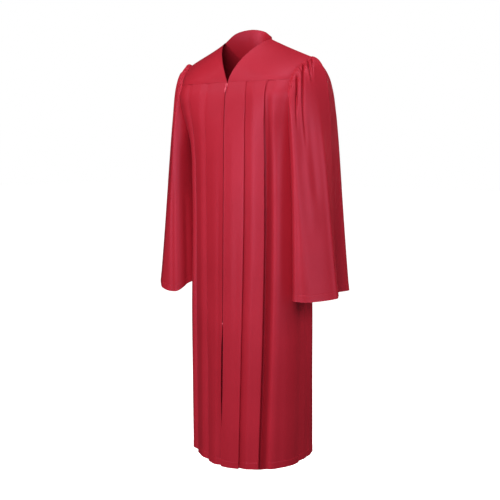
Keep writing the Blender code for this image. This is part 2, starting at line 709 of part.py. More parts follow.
def zip_bottom_stop(material):
    h = STOP_HALF_HEIGHT
    block = extruded("block", rectangle(-h, h, SLIDER_BACK, STOP_FACE), -STOP_HALF_WIDTH, STOP_HALF_WIDTH)
    keel = extruded("keel", rectangle(JOIN - h, h - JOIN, KEEL_BACK, SLIDER_BACK + JOIN),
                    -KEEL_HALF_WIDTH, KEEL_HALF_WIDTH)
    stop = joined("zip_bottom_stop", [block, keel], material)
    seat(stop, ZIP_BOTTOM_Z)
    return stop


def main():
    for old in list(bpy.data.objects):
        bpy.data.objects.remove(old, do_unlink=True)
    cloth = make_material("crimson_cloth", CRIMSON)
    wall("front_left", front_grid(LAP, 0.0, LEFT_HEM_RISE), cloth)
    wall("front_right", mirrored(front_grid(0.0, TUCK, RIGHT_HEM_RISE))[:, ::-1], cloth)
    yoke = front_yoke_grid()[::-1]
    wall("front_yoke_left", yoke, cloth)
    wall("front_yoke_right", mirrored(yoke)[:, ::-1], cloth)
    wall("back_yoke", back_yoke_grid()[::-1], cloth)
    wall("back_panel", back_grid()[:, ::-1], cloth)
    wall("sleeve_left", sleeve_grid(LEFT_SLEEVE)[:, ::-1], cloth, closed=True)
    wall("sleeve_right", mirrored(sleeve_grid(RIGHT_SLEEVE)), cloth, closed=True)
    zip_tape(make_material("zip_cloth", ZIP_RED))
    metal = make_material("slider_enamel", SLIDER_RED)
    zip_slider(metal)
    zip_pull(metal)
    zip_bottom_stop(metal)


main()
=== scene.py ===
"""Looks of the graduation gown: thin cloth shells on the form of the solids, zip and studio."""
import math

import bmesh
import bpy
import numpy as np
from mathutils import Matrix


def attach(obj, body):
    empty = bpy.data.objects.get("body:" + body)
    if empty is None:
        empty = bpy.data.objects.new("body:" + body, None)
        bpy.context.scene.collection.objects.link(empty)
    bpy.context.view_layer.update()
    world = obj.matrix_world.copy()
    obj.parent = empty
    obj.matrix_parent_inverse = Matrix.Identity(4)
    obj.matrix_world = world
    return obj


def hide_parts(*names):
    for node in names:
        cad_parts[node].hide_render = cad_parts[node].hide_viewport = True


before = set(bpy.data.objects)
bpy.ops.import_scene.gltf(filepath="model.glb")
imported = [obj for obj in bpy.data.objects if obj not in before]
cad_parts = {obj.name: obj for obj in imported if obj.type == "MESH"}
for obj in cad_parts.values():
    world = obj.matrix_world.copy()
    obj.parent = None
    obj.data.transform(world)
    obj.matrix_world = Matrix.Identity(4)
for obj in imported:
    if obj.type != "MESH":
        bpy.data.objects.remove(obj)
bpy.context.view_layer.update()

GOWN = "gown"
PULL_TAB = "pull_tab"

# Cloth, metres
SHELL = 0.0007          # thickness of the cloth
ROLL = 0.0007           # how much thicker a turned edge is
ROLL_WIDTH = 0.0030
HEM_FOLD = 0.022        # depth of the hem fold of body and cuffs
HEM_PROUD = 0.00045     # how far the fold stands off, and how deep its stitching sinks in
HEM_Z = -1.370          # hem at the centre front
LEFT_HEM_RISE = 0.011   # how much higher it hangs at the left side
RIGHT_HEM_RISE = 0.024  # and at the right one
HEM_RISE_TOP = 1.000    # the rise starts this far down
HEM_SINK = 0.34         # cloth that lies further in at the hem hangs lower by this share
UNDERARM_Z = -0.330     # lowest point of the armhole
YOKE_Z = -0.1370        # seam between yoke and lower panels
YOKE_LAP = -0.0003      # the yoke's lower edge ends this far above the panel
YOKE_LIFT = -0.0001
SHOULDER_SEAM = np.array([0.0, 0.0001, 0.0])    # from the front yoke to the back one
ARMHOLE_LIFT = 0.0022   # where the sleeve leaves the armhole edge
SEAM_LIFT = 0.0009      # where it is sewn to it
SEAM_LAP = 0.0016       # how far it laps over the body there
SIDE_TROUGH = 0.011     # the side seams draw the cloth in by this much
SIDE_TROUGH_WIDTH = 0.033
SIDE_TROUGH_FROM = (0.35, 0.75)     # depths below the neck between which the trough sets in

# Zip
ZIP_BOTTOM_Z = -0.900
TAPE_END_Z = -0.910
SLIT_TOP_Z = -0.912     # below this the front edges part
FRONT_EDGE = 0.0015     # each front edge stands this far from the centre
LAP = 0.0045            # how far the left edge moves over towards the right one at the hem
TUCK = 0.0110           # how far the right edge falls behind it there
SLIT_OPEN = 0.0034      # the right edge draws back by this much just below the zip
SLIT_CLOSES = (1.120, 1.370)    # depths over which the edges lap again towards the hem
TAPE_START = 0.0015     # the tapes start this far below the yoke seam
TAPE_INNER = 0.0003
TAPE_HALF_WIDTH = 0.0130
TAPE_LIFT = -0.0017     # middle of the tapes, from the middle of the cloth outward
TAPE_SHELL = 0.0005
TOOTH_PITCH = 0.0017
TOOTH_SIDE = (-0.0004, 0.0011)      # from past the middle out to its own tape
TOOTH_HALF_HEIGHT = (0.00048, 0.00034)  # at its root on the tape and at its face
TOOTH_OUT = (-0.0014, -0.0003)

# Slider and pull tab, in the slider's own frame: across, up the zip and out from the cloth
SLIDER_Z = -0.1470
SLIDER_HALF_WIDTH = (0.0033, 0.0040)    # at its lower and upper end
SLIDER_HALF_HEIGHT = 0.0066
SLIDER_OUT = (0.0016, 0.0030)
FLANGE_OUT = 0.0003
KEEL_HALF_WIDTH = 0.0008
BRIDGE_PATH = ((0.0056, 0.0024), (0.0054, 0.0040), (0.0044, 0.0051), (0.0010, 0.0053), (-0.0026, 0.0051),
               (-0.0040, 0.0040), (-0.0044, 0.0024))
BRIDGE_HALF = (0.0009, 0.0004)
PIN_UP = -0.0018
PIN_OUT = 0.00395
PIN_RADIUS = 0.00050
TAB_HALF_THICKNESS = 0.00050
TAB_ARM = (0.0014, 0.0026)
TAB_ARM_LENGTH = 0.0056
TAB_HALF_WIDTH = 0.0037
TAB_LENGTH = 0.0218
TAB_HOLE = (-0.0176, 0.0015, 0.0024)    # its middle, half width and half height
STOP_HALF_WIDTH = 0.0021
STOP_HALF_HEIGHT = 0.0027
STOP_OUT = (0.0008, 0.0021)
EDGE_ROUND = 0.0003     # rounding of the small parts' edges

# Neck and shoulders, left side
V_POINT = (0.0012, -0.128, YOKE_Z)
NECK_POINT = (0.092, -0.022, 0.000)
SHOULDER_TIP = (0.242, -0.016, -0.064)

# Pulls of the curved edges at their lower and upper ends
NECKLINE_PULLS = ((0.050, -0.010, 0.150), (0.070, 0.190, 0.060))
SHOULDER_PULLS = ((0.151, 0.022, -0.074), (0.151, 0.022, -0.062))
FRONT_ARMHOLE_PULLS = ((0.0, 0.0, 0.085), (0.035, 0.055, 0.030))
BACK_ARMHOLE_PULLS = ((0.0, 0.0, 0.085), (0.035, -0.055, 0.030))

# Back neckline from the left neck point to the right one; it stands a little higher on the right
BACK_NECK = (
    (0.092, -0.022, 0.000),
    (0.070, 0.012, 0.010),
    (0.040, 0.045, 0.021),
    (0.000, 0.064, 0.040),
    (-0.040, 0.048, 0.046),
    (-0.072, 0.010, 0.032),
    (-0.092, -0.022, 0.000),
)

# Body sections: height, half width, depth in front and behind, squareness of the outline
BODY_COLUMNS = ("z", "half_width", "front", "back", "power")
BODY = (
    (-0.137, 0.236, 0.128, 0.122, 3.90),
    (-0.171, 0.233, 0.139, 0.134, 4.60),
    (-0.215, 0.233, 0.144, 0.142, 3.60),
    (-0.285, 0.221, 0.148, 0.148, 2.70),
    (-0.345, 0.211, 0.149, 0.150, 2.45),
    (-0.450, 0.207, 0.151, 0.153, 2.30),
    (-0.900, 0.208, 0.157, 0.162, 2.20),
    (HEM_Z, 0.200, 0.165, 0.186, 2.20),
)

# Back yoke between its edges
YOKE_BULGE = 0.010      # how far it rounds out
BULGE_FADE = 0.6        # share of its half width over which the rounding dies out to the armhole
SHOULDER_ARC = np.array([-0.480, 0.140, 0.110])     # its way off the shoulder tip
NECK_FADE = 2.2         # how soon the neck's form fades downward

# Armhole: how far its edge swings in front of and behind the side, degrees
ARMHOLE_FRONT = 33.5
ARMHOLE_BACK = 33.5
ARMHOLE_SQUARE = 3.0    # how late and how sharply its edge turns under the arm
TIP_OUT = np.array([0.34, 0.0, 0.94])   # way out of the gown at the shoulder tip

# Knife pleats of a front, by height: place of both outer edges along the cloth from centre front
PLEAT_COLUMNS = ("z", "edge_1", "edge_2", "fold_1", "fold_2", "recess", "ridge")
PLEATS = (
    (-0.137, 0.0735, 0.1490, 0.0006, 0.0006, 0.000, 0.000),
    (-0.200, 0.0785, 0.1480, 0.0008, 0.0009, 0.003, 0.000),
    (-0.285, 0.0770, 0.1435, 0.0011, 0.0013, 0.009, 0.000),
    (-0.400, 0.0760, 0.1425, 0.0015, 0.0018, 0.015, 0.003),
    (-0.600, 0.0750, 0.1430, 0.0020, 0.0026, 0.020, 0.005),
    (-0.900, 0.0705, 0.1405, 0.0023, 0.0030, 0.022, 0.006),
    (HEM_Z, 0.0630, 0.1310, 0.0026, 0.0034, 0.020, 0.006),
)
PLEAT_DEPTH = 0.026     # from an outer edge to the inner fold behind it
BAND_RISE = (-0.004, 0.034)     # past the first edge the band comes forward over this stretch
SIDE_RISE = (0.004, 0.036)      # past the second edge
RECESS_PLACE = 0.006    # middle and width of the hollow past the second edge
RECESS_WIDTH = 0.016
RIDGE_PLACE = 0.042     # middle and width of the swell past it
RIDGE_WIDTH = 0.022
SIDE_FADE = 0.030       # the folds die out over this width beside the side seam
TUCK_WIDTH = 0.030      # width of the right edge that falls back below the zip

# Soft folds of the back: place along the cloth from the centre back, width, height and the share
# of the panel's height at which each starts
BACK_FOLDS = (
    (-0.195, 0.024, 0.0070, 0.10),
    (-0.122, 0.026, 0.0085, 0.00),
    (-0.048, 0.022, 0.0075, 0.03),
    (0.024, 0.024, 0.0080, 0.00),
    (0.098, 0.026, 0.0085, 0.02),
    (0.176, 0.024, 0.0070, 0.12),
)
BACK_FOLD_GROWTH = 0.55     # share of the panel's height over which a fold grows
BACK_FOLD_SPREAD = 0.02     # how much further apart they stand at the hem
BACK_SETTLE = (0.003, 0.6)  # how far the cloth falls in between them, and by what share

# A sleeve, round from the shoulder tip by way of the front: how it leaves the armhole, its cuff
SLEEVE_COLUMNS = ("turn", "out_x", "out_y", "out_z", "cuff_x", "cuff_y", "cuff_z")
LEFT_SLEEVE = (
    (0.00, 0.100, 0.000, -0.020, 0.330, 0.008, -0.800),
    (0.09, 0.078, -0.016, -0.008, 0.338, -0.030, -0.806),
    (0.18, 0.036, -0.026, -0.010, 0.292, -0.092, -0.812),
    (0.28, 0.016, -0.024, -0.060, 0.240, -0.110, -0.811),
    (0.38, 0.010, -0.014, -0.090, 0.2175, -0.060, -0.806),
    (0.50, 0.005, 0.000, -0.110, 0.215, 0.000, -0.803),
    (0.62, 0.010, 0.014, -0.090, 0.222, 0.075, -0.800),
    (0.71, 0.016, 0.020, -0.060, 0.250, 0.120, -0.799),
    (0.81, 0.048, 0.018, 0.000, 0.305, 0.116, -0.798),
    (0.91, 0.092, 0.006, 0.010, 0.298, 0.050, -0.799),
)
# The right sleeve stands higher off the shoulder, and its cuff is turned further to the front
RIGHT_SLEEVE = (
    (0.00, 0.074, 0.000, 0.044, 0.343, -0.030, -0.798),
    (0.09, 0.050, -0.010, 0.044, 0.342, -0.070, -0.791),
    (0.18, 0.016, -0.014, 0.004, 0.296, -0.110, -0.817),
    (0.28, 0.010, -0.022, -0.060, 0.238, -0.108, -0.823),
    (0.38, 0.010, -0.014, -0.090, 0.2175, -0.060, -0.795),
    (0.50, 0.005, 0.000, -0.110, 0.215, 0.000, -0.800),
    (0.62, 0.010, 0.014, -0.090, 0.222, 0.070, -0.800),
    (0.71, 0.016, 0.020, -0.060, 0.250, 0.105, -0.799),
    (0.81, 0.036, 0.022, -0.016, 0.300, 0.092, -0.798),
    (0.91, 0.064, 0.010, 0.026, 0.322, 0.036, -0.799),
)
SLEEVE_DROP = 0.42      # how far above the cuff the cloth already hangs straight
SLEEVE_LEAN = 0.052     # how much nearer to the body its outer side is there
LEAN_FROM = (0.24, 0.32)    # cuff places between which the lean sets in
SLEEVE_CROWD = 2.6      # how much closer the columns stand over the gathered cap
RING_POWER = 1.35       # rings stand closer together near the armhole
GATHER_START = 0.012    # a gather reaches its full depth this far from the seam

# Gathers of a sleeve cap: each starts at a turn, swings away from it as it leaves the seam and
# settles; where it starts and ends, its width in turns and its lift, less than 0 for a valley
GATHER_COLUMNS = ("turn", "swing", "settle", "start", "length", "width", "lift")
LEFT_GATHERS = (
    (0.205, 0.012, 0.060, 0.000, 0.060, 0.0065, -0.0030),
    (0.172, 0.010, 0.030, 0.000, 0.026, 0.0040, -0.0032),
    (0.100, 0.085, 0.060, 0.014, 0.150, 0.0075, -0.0085),
    (0.096, 0.050, 0.070, 0.030, 0.220, 0.0090, 0.0042),
    (0.086, 0.016, 0.030, 0.002, 0.036, 0.0040, -0.0036),
    (0.050, 0.090, 0.045, 0.000, 0.240, 0.0062, -0.0095),
    (0.052, 0.040, 0.050, 0.010, 0.090, 0.0065, 0.0030),
    (0.024, 0.060, 0.040, 0.000, 0.080, 0.0048, -0.0065),
    (0.012, 0.060, 0.045, 0.008, 0.090, 0.0060, 0.0026),
    (0.000, 0.080, 0.045, 0.000, 0.075, 0.0046, -0.0055),
    (0.978, 0.010, 0.060, 0.004, 0.120, 0.0065, -0.0048),
    (0.950, -0.024, 0.060, 0.000, 0.070, 0.0050, -0.0042),
    (0.925, -0.030, 0.060, 0.004, 0.160, 0.0070, -0.0070),
    (0.890, -0.026, 0.050, 0.000, 0.100, 0.0062, -0.0056),
    (0.858, -0.020, 0.050, 0.004, 0.150, 0.0070, -0.0052),
    (0.826, -0.012, 0.050, 0.000, 0.060, 0.0055, -0.0030),
)
RIGHT_GATHERS = (
    (0.200, 0.014, 0.060, 0.000, 0.080, 0.0065, -0.0034),
    (0.150, 0.040, 0.060, 0.008, 0.150, 0.0072, -0.0070),
    (0.112, 0.030, 0.050, 0.004, 0.060, 0.0050, -0.0040),
    (0.070, 0.070, 0.050, 0.000, 0.210, 0.0065, -0.0085),
    (0.060, 0.050, 0.060, 0.016, 0.160, 0.0070, 0.0030),
    (0.038, 0.050, 0.040, 0.000, 0.070, 0.0050, -0.0055),
    (0.008, 0.050, 0.045, 0.000, 0.090, 0.0050, -0.0056),
    (0.982, 0.006, 0.060, 0.004, 0.100, 0.0062, -0.0044),
    (0.952, -0.020, 0.060, 0.000, 0.150, 0.0060, -0.0062),
    (0.918, -0.030, 0.050, 0.004, 0.080, 0.0055, -0.0046),
    (0.884, -0.024, 0.060, 0.000, 0.170, 0.0070, -0.0066),
    (0.846, -0.020, 0.050, 0.004, 0.090, 0.0060, -0.0042),
    (0.812, -0.010, 0.050, 0.000, 0.060, 0.0055, -0.0028),
)


def smoothstep(value, low, high):
    t = np.clip((np.asarray(value, float) - low) / (high - low), 0.0, 1.0)
    return t * t * (3.0 - 2.0 * t)


def curve(knots, values, at, period=0.0):
    """Smooth line through the values at the knots; with a period it closes on itself."""
    knots = np.asarray(knots, float)
    values = np.asarray(values, float)
    if period:
        knots = np.concatenate([knots[-3:] - period, knots, knots[:3] + period])
        values = np.concatenate([values[-3:], values, values[:3]])
    rising = knots[-1] > knots[0]
    if not rising:
        knots = knots[::-1]
        values = values[::-1]
    at = np.asarray(at, float)
    slopes = np.gradient(values, knots, axis=0)
    i = np.clip(np.searchsorted(knots, at, side="right") - 1, 0, len(knots) - 2)
    span = knots[i + 1] - knots[i]
    t = np.clip((at - knots[i]) / span, 0.0, 1.0)
    if values.ndim > 1:
        t = t[..., None]
        span = span[..., None]
    return (values[i] * (1 + 2 * t) * (1 - t) ** 2 + slopes[i] * span * t * (1 - t) ** 2
            + values[i + 1] * t * t * (3 - 2 * t) + slopes[i + 1] * span * t * t * (t - 1))


def column(table, columns, name):
    return [row[columns.index(name)] for row in table]


def read(table, columns, name, at):
    """One column of a table at any height, smoothly between its rows."""
    return curve(column(table, columns, columns[0]), column(table, columns, name), at)


SECTION_POINTS = 481


def half_section(z, behind):
    """Half outline of the body at one height, from its centre to its side: x, y and length along it."""
    angle = np.linspace(0.0, math.pi / 2, SECTION_POINTS)
    power = 2.0 / read(BODY, BODY_COLUMNS, "power", z)
    depth = read(BODY, BODY_COLUMNS, "back" if behind else "front", z)
    x = read(BODY, BODY_COLUMNS, "half_width", z) * np.sin(angle) ** power
    y = depth * np.abs(np.cos(angle)) ** power
    y[-1] = 0.0
    if not behind:
        y = -y
    length = np.concatenate([[0.0], np.cumsum(np.hypot(np.diff(x), np.diff(y)))])
    return angle, x, y, length


def on_body(z, behind, along, lift):
    """Points at a length along the section from the centre, lifted outward; less than 0 is past it."""
    _, x, y, length = half_section(z, behind)
    along = np.asarray(along, float)
    dx = np.gradient(x, length)
    dy = np.gradient(y, length)
    outward = -1.0 if behind else 1.0
    nx = np.interp(along, length, outward * dy)
    ny = np.interp(along, length, -outward * dx)
    size = np.hypot(nx, ny)
    point_x = np.interp(along, length, x) + np.minimum(along, 0.0) + lift * nx / size
    point_y = np.interp(along, length, y) + lift * ny / size
    return np.stack([point_x, point_y, np.full_like(point_x, z)], axis=-1)


def armhole_length(z, behind):
    """Length along the section from the centre to the armhole edge, or to the side seam below it."""
    angle, _, _, length = half_section(z, behind)
    rise = np.clip((z - UNDERARM_Z) / (YOKE_Z - UNDERARM_Z), 0.0, 1.0)
    swing = ARMHOLE_BACK if behind else ARMHOLE_FRONT
    edge = math.pi / 2 - math.radians(swing) * math.sqrt(1.0 - (1.0 - rise) ** ARMHOLE_SQUARE)
    return float(np.interp(edge, angle, length))


def hermite(start, end, pulls, t):
    """Curve from start to end, leaving and arriving along its two pulls."""
    t = np.asarray(t, float)[:, None]
    start, end, start_pull, end_pull = (np.asarray(v, float) for v in (start, end, *pulls))
    return (start * (1 + 2 * t) * (1 - t) ** 2 + start_pull * t * (1 - t) ** 2
            + end * t * t * (3 - 2 * t) + end_pull * t * t * (t - 1))


def yoke_corner(behind):
    return on_body(YOKE_Z, behind, [armhole_length(YOKE_Z, behind)], 0.0)[0]


def upper_armhole(behind, t):
    """Armhole edge of a yoke, from its lower corner up to the shoulder tip."""
    tip = np.array(SHOULDER_TIP) + (SHOULDER_SEAM if behind else 0.0)
    return hermite(yoke_corner(behind), tip, BACK_ARMHOLE_PULLS if behind else FRONT_ARMHOLE_PULLS, t)


def neckline(t):
    """Front neckline, from the V point up to the neck point."""
    return hermite(V_POINT, NECK_POINT, NECKLINE_PULLS, t)


def back_neckline(t):
    """Back neckline, from the left neck point over the centre back to the right one."""
    return curve(np.linspace(0.0, 1.0, len(BACK_NECK)), BACK_NECK, t)


def shoulder_line(t):
    return hermite(NECK_POINT, SHOULDER_TIP, SHOULDER_PULLS, t)


def coons(bottom, top, near, far):
    """Grid over four edges; near and far run from the bottom edge to the top edge."""
    rows = len(near)
    columns = len(bottom)
    u = np.linspace(0, 1, columns)[None, :, None]
    v = np.linspace(0, 1, rows)[:, None, None]
    across = bottom[None] * (1 - v) + top[None] * v
    up = near[:, None] * (1 - u) + far[:, None] * u
    corners = ((bottom[0] * (1 - u) + bottom[-1] * u) * (1 - v) + (top[0] * (1 - u) + top[-1] * u) * v)
    return across + up - corners


def mirrored(grid):
    """The same grid on the wearer's right."""
    return grid * np.array([-1.0, 1.0, 1.0])


def lapped(grid):
    """The yoke's lower edge drawn down over the panel and a little off it; rows run upward."""
    height = grid[:, :, 2] - YOKE_Z
    near_edge = 1.0 - smoothstep(height, 0.0, 0.012)
    out = grid_normals(grid, False)
    facing = np.sign(out[:, :, 1] * grid[:, :, 1])[:, :, None]
    moved = grid + out * facing * (YOKE_LIFT * near_edge)[:, :, None]
    moved[:, :, 2] -= YOKE_LAP * (1.0 - smoothstep(height, 0.0, 0.006))
    return moved


def front_yoke_grid(columns=100, rows=70):
    share = np.linspace(0, 1, columns)
    t = np.linspace(0, 1, rows)
    bottom = on_body(YOKE_Z, False, share * armhole_length(YOKE_Z, False), 0.0)
    bottom[:, 0] += V_POINT[0] * (1 - share)
    near = neckline(t)
    near[0] = bottom[0]
    far = upper_armhole(False, t)
    far[0] = bottom[-1]
    return lapped(coons(bottom, shoulder_line(share), near, far))


def back_yoke_grid(columns=181, rows=70):
    """Back yoke, from the left armhole over the centre back to the right one."""
    end = armhole_length(YOKE_Z, True)
    along = np.linspace(end, -end, columns)
    bottom = on_body(YOKE_Z, True, np.abs(along), 0.0)
    bottom[:, 0] *= np.where(along < 0, -1.0, 1.0)
    side = columns // 3
    neck = back_neckline(np.linspace(0, 1, columns - 2 * side))
    shoulder = shoulder_line(np.linspace(1, 0, side + 1))[:-1]
    top = np.concatenate([shoulder, neck, mirrored(shoulder)[::-1]])
    at_shoulder = smoothstep(np.abs(top[:, 0]), BACK_NECK[1][0], NECK_POINT[0])[:, None]
    top = top + SHOULDER_SEAM * at_shoulder
    v = np.linspace(0, 1, rows)
    left = upper_armhole(True, v)
    left[0] = bottom[0]
    arc = (SHOULDER_ARC, SHOULDER_ARC * np.array([1.0, -1.0, -1.0]))
    smooth = hermite(top[0], top[-1], arc, np.linspace(0, 1, columns))
    flat = coons(bottom, smooth, left, mirrored(left))
    flat += (top - smooth)[None] * (v ** NECK_FADE)[:, None, None]
    inside = smoothstep(1 - np.abs(along) / end, 0.0, BULGE_FADE)
    flat[:, :, 1] += YOKE_BULGE * np.sin(math.pi * v)[:, None] * inside
    return lapped(flat)


def pleat_path(z, end, columns, lap, tuck):
    """One front section: length along the body and lift, through both pleats to the edge at end."""
    edges = (read(PLEATS, PLEAT_COLUMNS, "edge_1", z), read(PLEATS, PLEAT_COLUMNS, "edge_2", z))
    folds = (read(PLEATS, PLEAT_COLUMNS, "fold_1", z), read(PLEATS, PLEAT_COLUMNS, "fold_2", z))
    recess = read(PLEATS, PLEAT_COLUMNS, "recess", z)
    ridge = read(PLEATS, PLEAT_COLUMNS, "ridge", z)
    turn = np.linspace(0.0, math.pi, columns["fold"])
    slit = smoothstep(-z, *SLIT_CLOSES)
    along = [np.linspace(FRONT_EDGE - lap * slit, edges[0] - folds[0], columns["band"])[:-1]]
    lift = [-tuck * slit * (1 - smoothstep(along[0], 0.0, TUCK_WIDTH))]
    for number, (edge, fold) in enumerate(zip(edges, folds)):
        inner = edge - PLEAT_DEPTH
        along.append(edge - fold + fold * np.sin(turn))
        lift.append(-fold + fold * np.cos(turn))
        along.append(inner + fold - fold * np.sin(turn))
        lift.append(-3 * fold + fold * np.cos(turn))
        floor = -4 * fold
        start = inner + fold
        if number == 0:
            stop = edges[1] - folds[1]
            steps = columns["band"] + 2
            place = np.linspace(start, stop, steps)[1:-1]
            rise = smoothstep(place - edge, *BAND_RISE)
            along.append(place)
            lift.append(floor * (1 - rise))
        else:
            place = np.linspace(start, end, columns["side"] + 1)[1:]
            rise = smoothstep(place - edge, *SIDE_RISE)
            dip = recess * np.exp(-((place - edge - RECESS_PLACE) / RECESS_WIDTH) ** 2)
            swell = ridge * np.exp(-((place - edge - RIDGE_PLACE) / RIDGE_WIDTH) ** 2)
            free = smoothstep(end - place, 0.0, SIDE_FADE)
            along.append(place)
            lift.append((floor * (1 - rise) - dip + swell) * free)
    return np.concatenate(along), np.concatenate(lift)


def panel_heights():
    """Heights of the rows of a panel, closer together where the armhole turns under."""
    even = np.linspace(YOKE_Z, HEM_Z, 150)
    close = UNDERARM_Z + 0.030 * np.linspace(0.0, 1.0, 14) ** 2
    fold = HEM_Z + HEM_FOLD + np.linspace(-0.003, 0.003, 9)
    edge = HEM_Z + np.array([0.001, 0.0022, 0.0036, 0.0052])
    return np.unique(np.concatenate([even, close, fold, edge]))[::-1]


def grid_normals(grid, closed):
    """Unit directions square to a grid, by its rows and columns."""
    if closed:
        around = np.roll(grid, -1, axis=1) - np.roll(grid, 1, axis=1)
    else:
        around = np.gradient(grid, axis=1)
    down = np.gradient(grid, axis=0)
    normal = np.cross(around, down)
    size = np.linalg.norm(normal, axis=2)[:, :, None]
    return normal / np.maximum(size, 1e-12)


# Creases: soft troughs (less than 0) and ridges, each along a line from one height to another
CREASE_COLUMNS = ("place", "lean", "top", "bottom", "width", "depth")
LEFT_FRONT_CREASES = (
    (0.030, 0.004, -0.20, -0.95, 0.012, 0.0006),
    (0.052, -0.006, -0.45, -1.36, 0.014, -0.0009),
    (0.108, 0.006, -0.16, -0.80, 0.016, 0.0012),
    (0.118, -0.010, -0.70, -1.36, 0.014, -0.0011),
    (0.212, 0.004, -0.70, -1.36, 0.016, 0.0016),
)
RIGHT_FRONT_CREASES = (
    (0.018, 0.003, -0.30, -1.36, 0.007, -0.0009),
    (0.044, -0.004, -0.24, -0.88, 0.016, 0.0007),
    (0.104, 0.006, -0.18, -0.92, 0.015, 0.0012),
    (0.124, -0.008, -0.85, -1.36, 0.013, -0.0012),
    (0.066, -0.006, -0.92, -1.36, 0.012, -0.0022),
    (0.200, 0.006, -0.32, -0.80, 0.013, -0.0018),
    (0.216, 0.004, -0.80, -1.36, 0.015, 0.0018),
)
BACK_CREASES = (
    (-0.262, 0.004, -0.50, -1.36, 0.017, -0.0048),
    (-0.228, 0.005, -0.34, -0.95, 0.013, 0.0032),
    (-0.160, 0.010, -0.16, -0.70, 0.012, -0.0034),
    (-0.085, -0.008, -0.15, -1.00, 0.015, -0.0044),
    (-0.014, 0.006, -0.15, -0.62, 0.011, -0.0030),
    (0.060, 0.009, -0.15, -1.20, 0.015, -0.0042),
    (0.135, -0.006, -0.16, -0.82, 0.012, -0.0036),
    (0.214, 0.006, -0.36, -1.10, 0.014, 0.0034),
    (0.258, -0.004, -0.60, -1.36, 0.016, -0.0046),
)


def creases(place, z, table):
    """Lift of all creases of a table at places along a section at one height."""
    lift = np.zeros_like(place)
    for centre, lean, top, bottom, width, depth in table:
        share = (top - z) / (top - bottom)
        fade = smoothstep(share, 0.0, 0.30) * (1.0 - smoothstep(share, 0.78, 1.0) * (bottom > HEM_Z + 0.02))
        lift += depth * fade * np.exp(-((place - centre - lean * share) / width) ** 2)
    return lift


def ripple(u, v, seed, size):
    """Faint unevenness of hanging cloth, up to about size, from a few long waves."""
    draw = np.random.default_rng(seed)
    total = np.zeros(np.broadcast(u, v).shape)
    for number in range(9):
        across = draw.uniform(18.0, 90.0)
        along = draw.uniform(2.0, 16.0)
        phase = draw.uniform(0.0, 2 * math.pi)
        total += np.sin(across * u + along * v + phase + 0.8 * np.sin(5.0 * v + phase)) / 9.0
    return size * total


def hem_relief(z):
    """The turned-up hem stands a little proud, over a shallow line of stitching."""
    above = z - HEM_Z
    fold = 1.0 - smoothstep(above, HEM_FOLD - 0.001, HEM_FOLD + 0.001)
    stitch = np.exp(-((above - HEM_FOLD) / 0.0010) ** 2)
    return HEM_PROUD * (fold - stitch)


def side_trough(gap, z):
    """How far the side seam draws the cloth in, by the distance from it."""
    return SIDE_TROUGH * smoothstep(-z, *SIDE_TROUGH_FROM) * np.exp(-(gap / SIDE_TROUGH_WIDTH) ** 2)


def hem_raised(grid, rise):
    """The panel with its hem drawn up toward the sides."""
    side = smoothstep(np.abs(grid[:, :, 0]), 0.0, BODY[-1][1])
    low = smoothstep(-grid[:, :, 2], HEM_RISE_TOP, -HEM_Z)
    grid[:, :, 2] += rise * side * low
    return grid


def front_grid(lap, tuck, rise, table, seed):
    columns = {"band": 26, "fold": 9, "side": 66}
    rows = []
    for z in panel_heights():
        end = armhole_length(z, False)
        along, lift = pleat_path(z, end, columns, lap, tuck)
        if tuck:
            drawn = SLIT_OPEN * smoothstep(-z, -SLIT_TOP_Z, 1.00)
            along = along + drawn * (1 - smoothstep(along, 0.0, TUCK_WIDTH))
        free = smoothstep(end - along, 0.0, 0.020) * smoothstep(YOKE_Z - z, 0.0, 0.05)
        lift += free * (creases(along, z, table) + ripple(along, z, seed, 0.0007))
        lift -= side_trough(end - along, z)
        row = on_body(z, False, along, lift + hem_relief(z))
        inner = slice(-columns["side"], None)
        row[inner, 2] += HEM_SINK * np.minimum(lift[inner], 0.0) * smoothstep(-z, 1.10, -HEM_Z)
        rows.append(row)
    return hem_raised(np.array(rows), rise)


def back_lift(place, z):
    """Soft folds that grow downward from the back yoke."""
    lift = np.zeros_like(place)
    down = (YOKE_Z - z) / (YOKE_Z - HEM_Z)
    for centre, width, height, start in BACK_FOLDS:
        grow = smoothstep(down, start, start + BACK_FOLD_GROWTH)
        lift += height * grow * np.exp(-((place - centre * (1 + BACK_FOLD_SPREAD * down)) / width) ** 2)
    settle, share = BACK_SETTLE
    return lift - settle * smoothstep(down, 0.0, share)


def back_grid(columns=181):
    rows = []
    for z in panel_heights():
        end = armhole_length(z, True)
        place = np.linspace(-end, end, columns)
        free = smoothstep(end - np.abs(place), 0.0, SIDE_FADE)
        extra = creases(place, z, BACK_CREASES) + ripple(place, z, 5, 0.0009)
        lift = (back_lift(place, z) + extra * smoothstep(YOKE_Z - z, 0.0, 0.05)) * free + hem_relief(z)
        lift -= side_trough(end - np.abs(place), z)
        row = on_body(z, True, np.abs(place), lift)
        row[:, 0] *= np.where(place < 0, -1.0, 1.0)
        rows.append(row)
    grid = np.array(rows)
    return hem_raised(grid, np.where(grid[:, :, 0] > 0, LEFT_HEM_RISE, RIGHT_HEM_RISE))


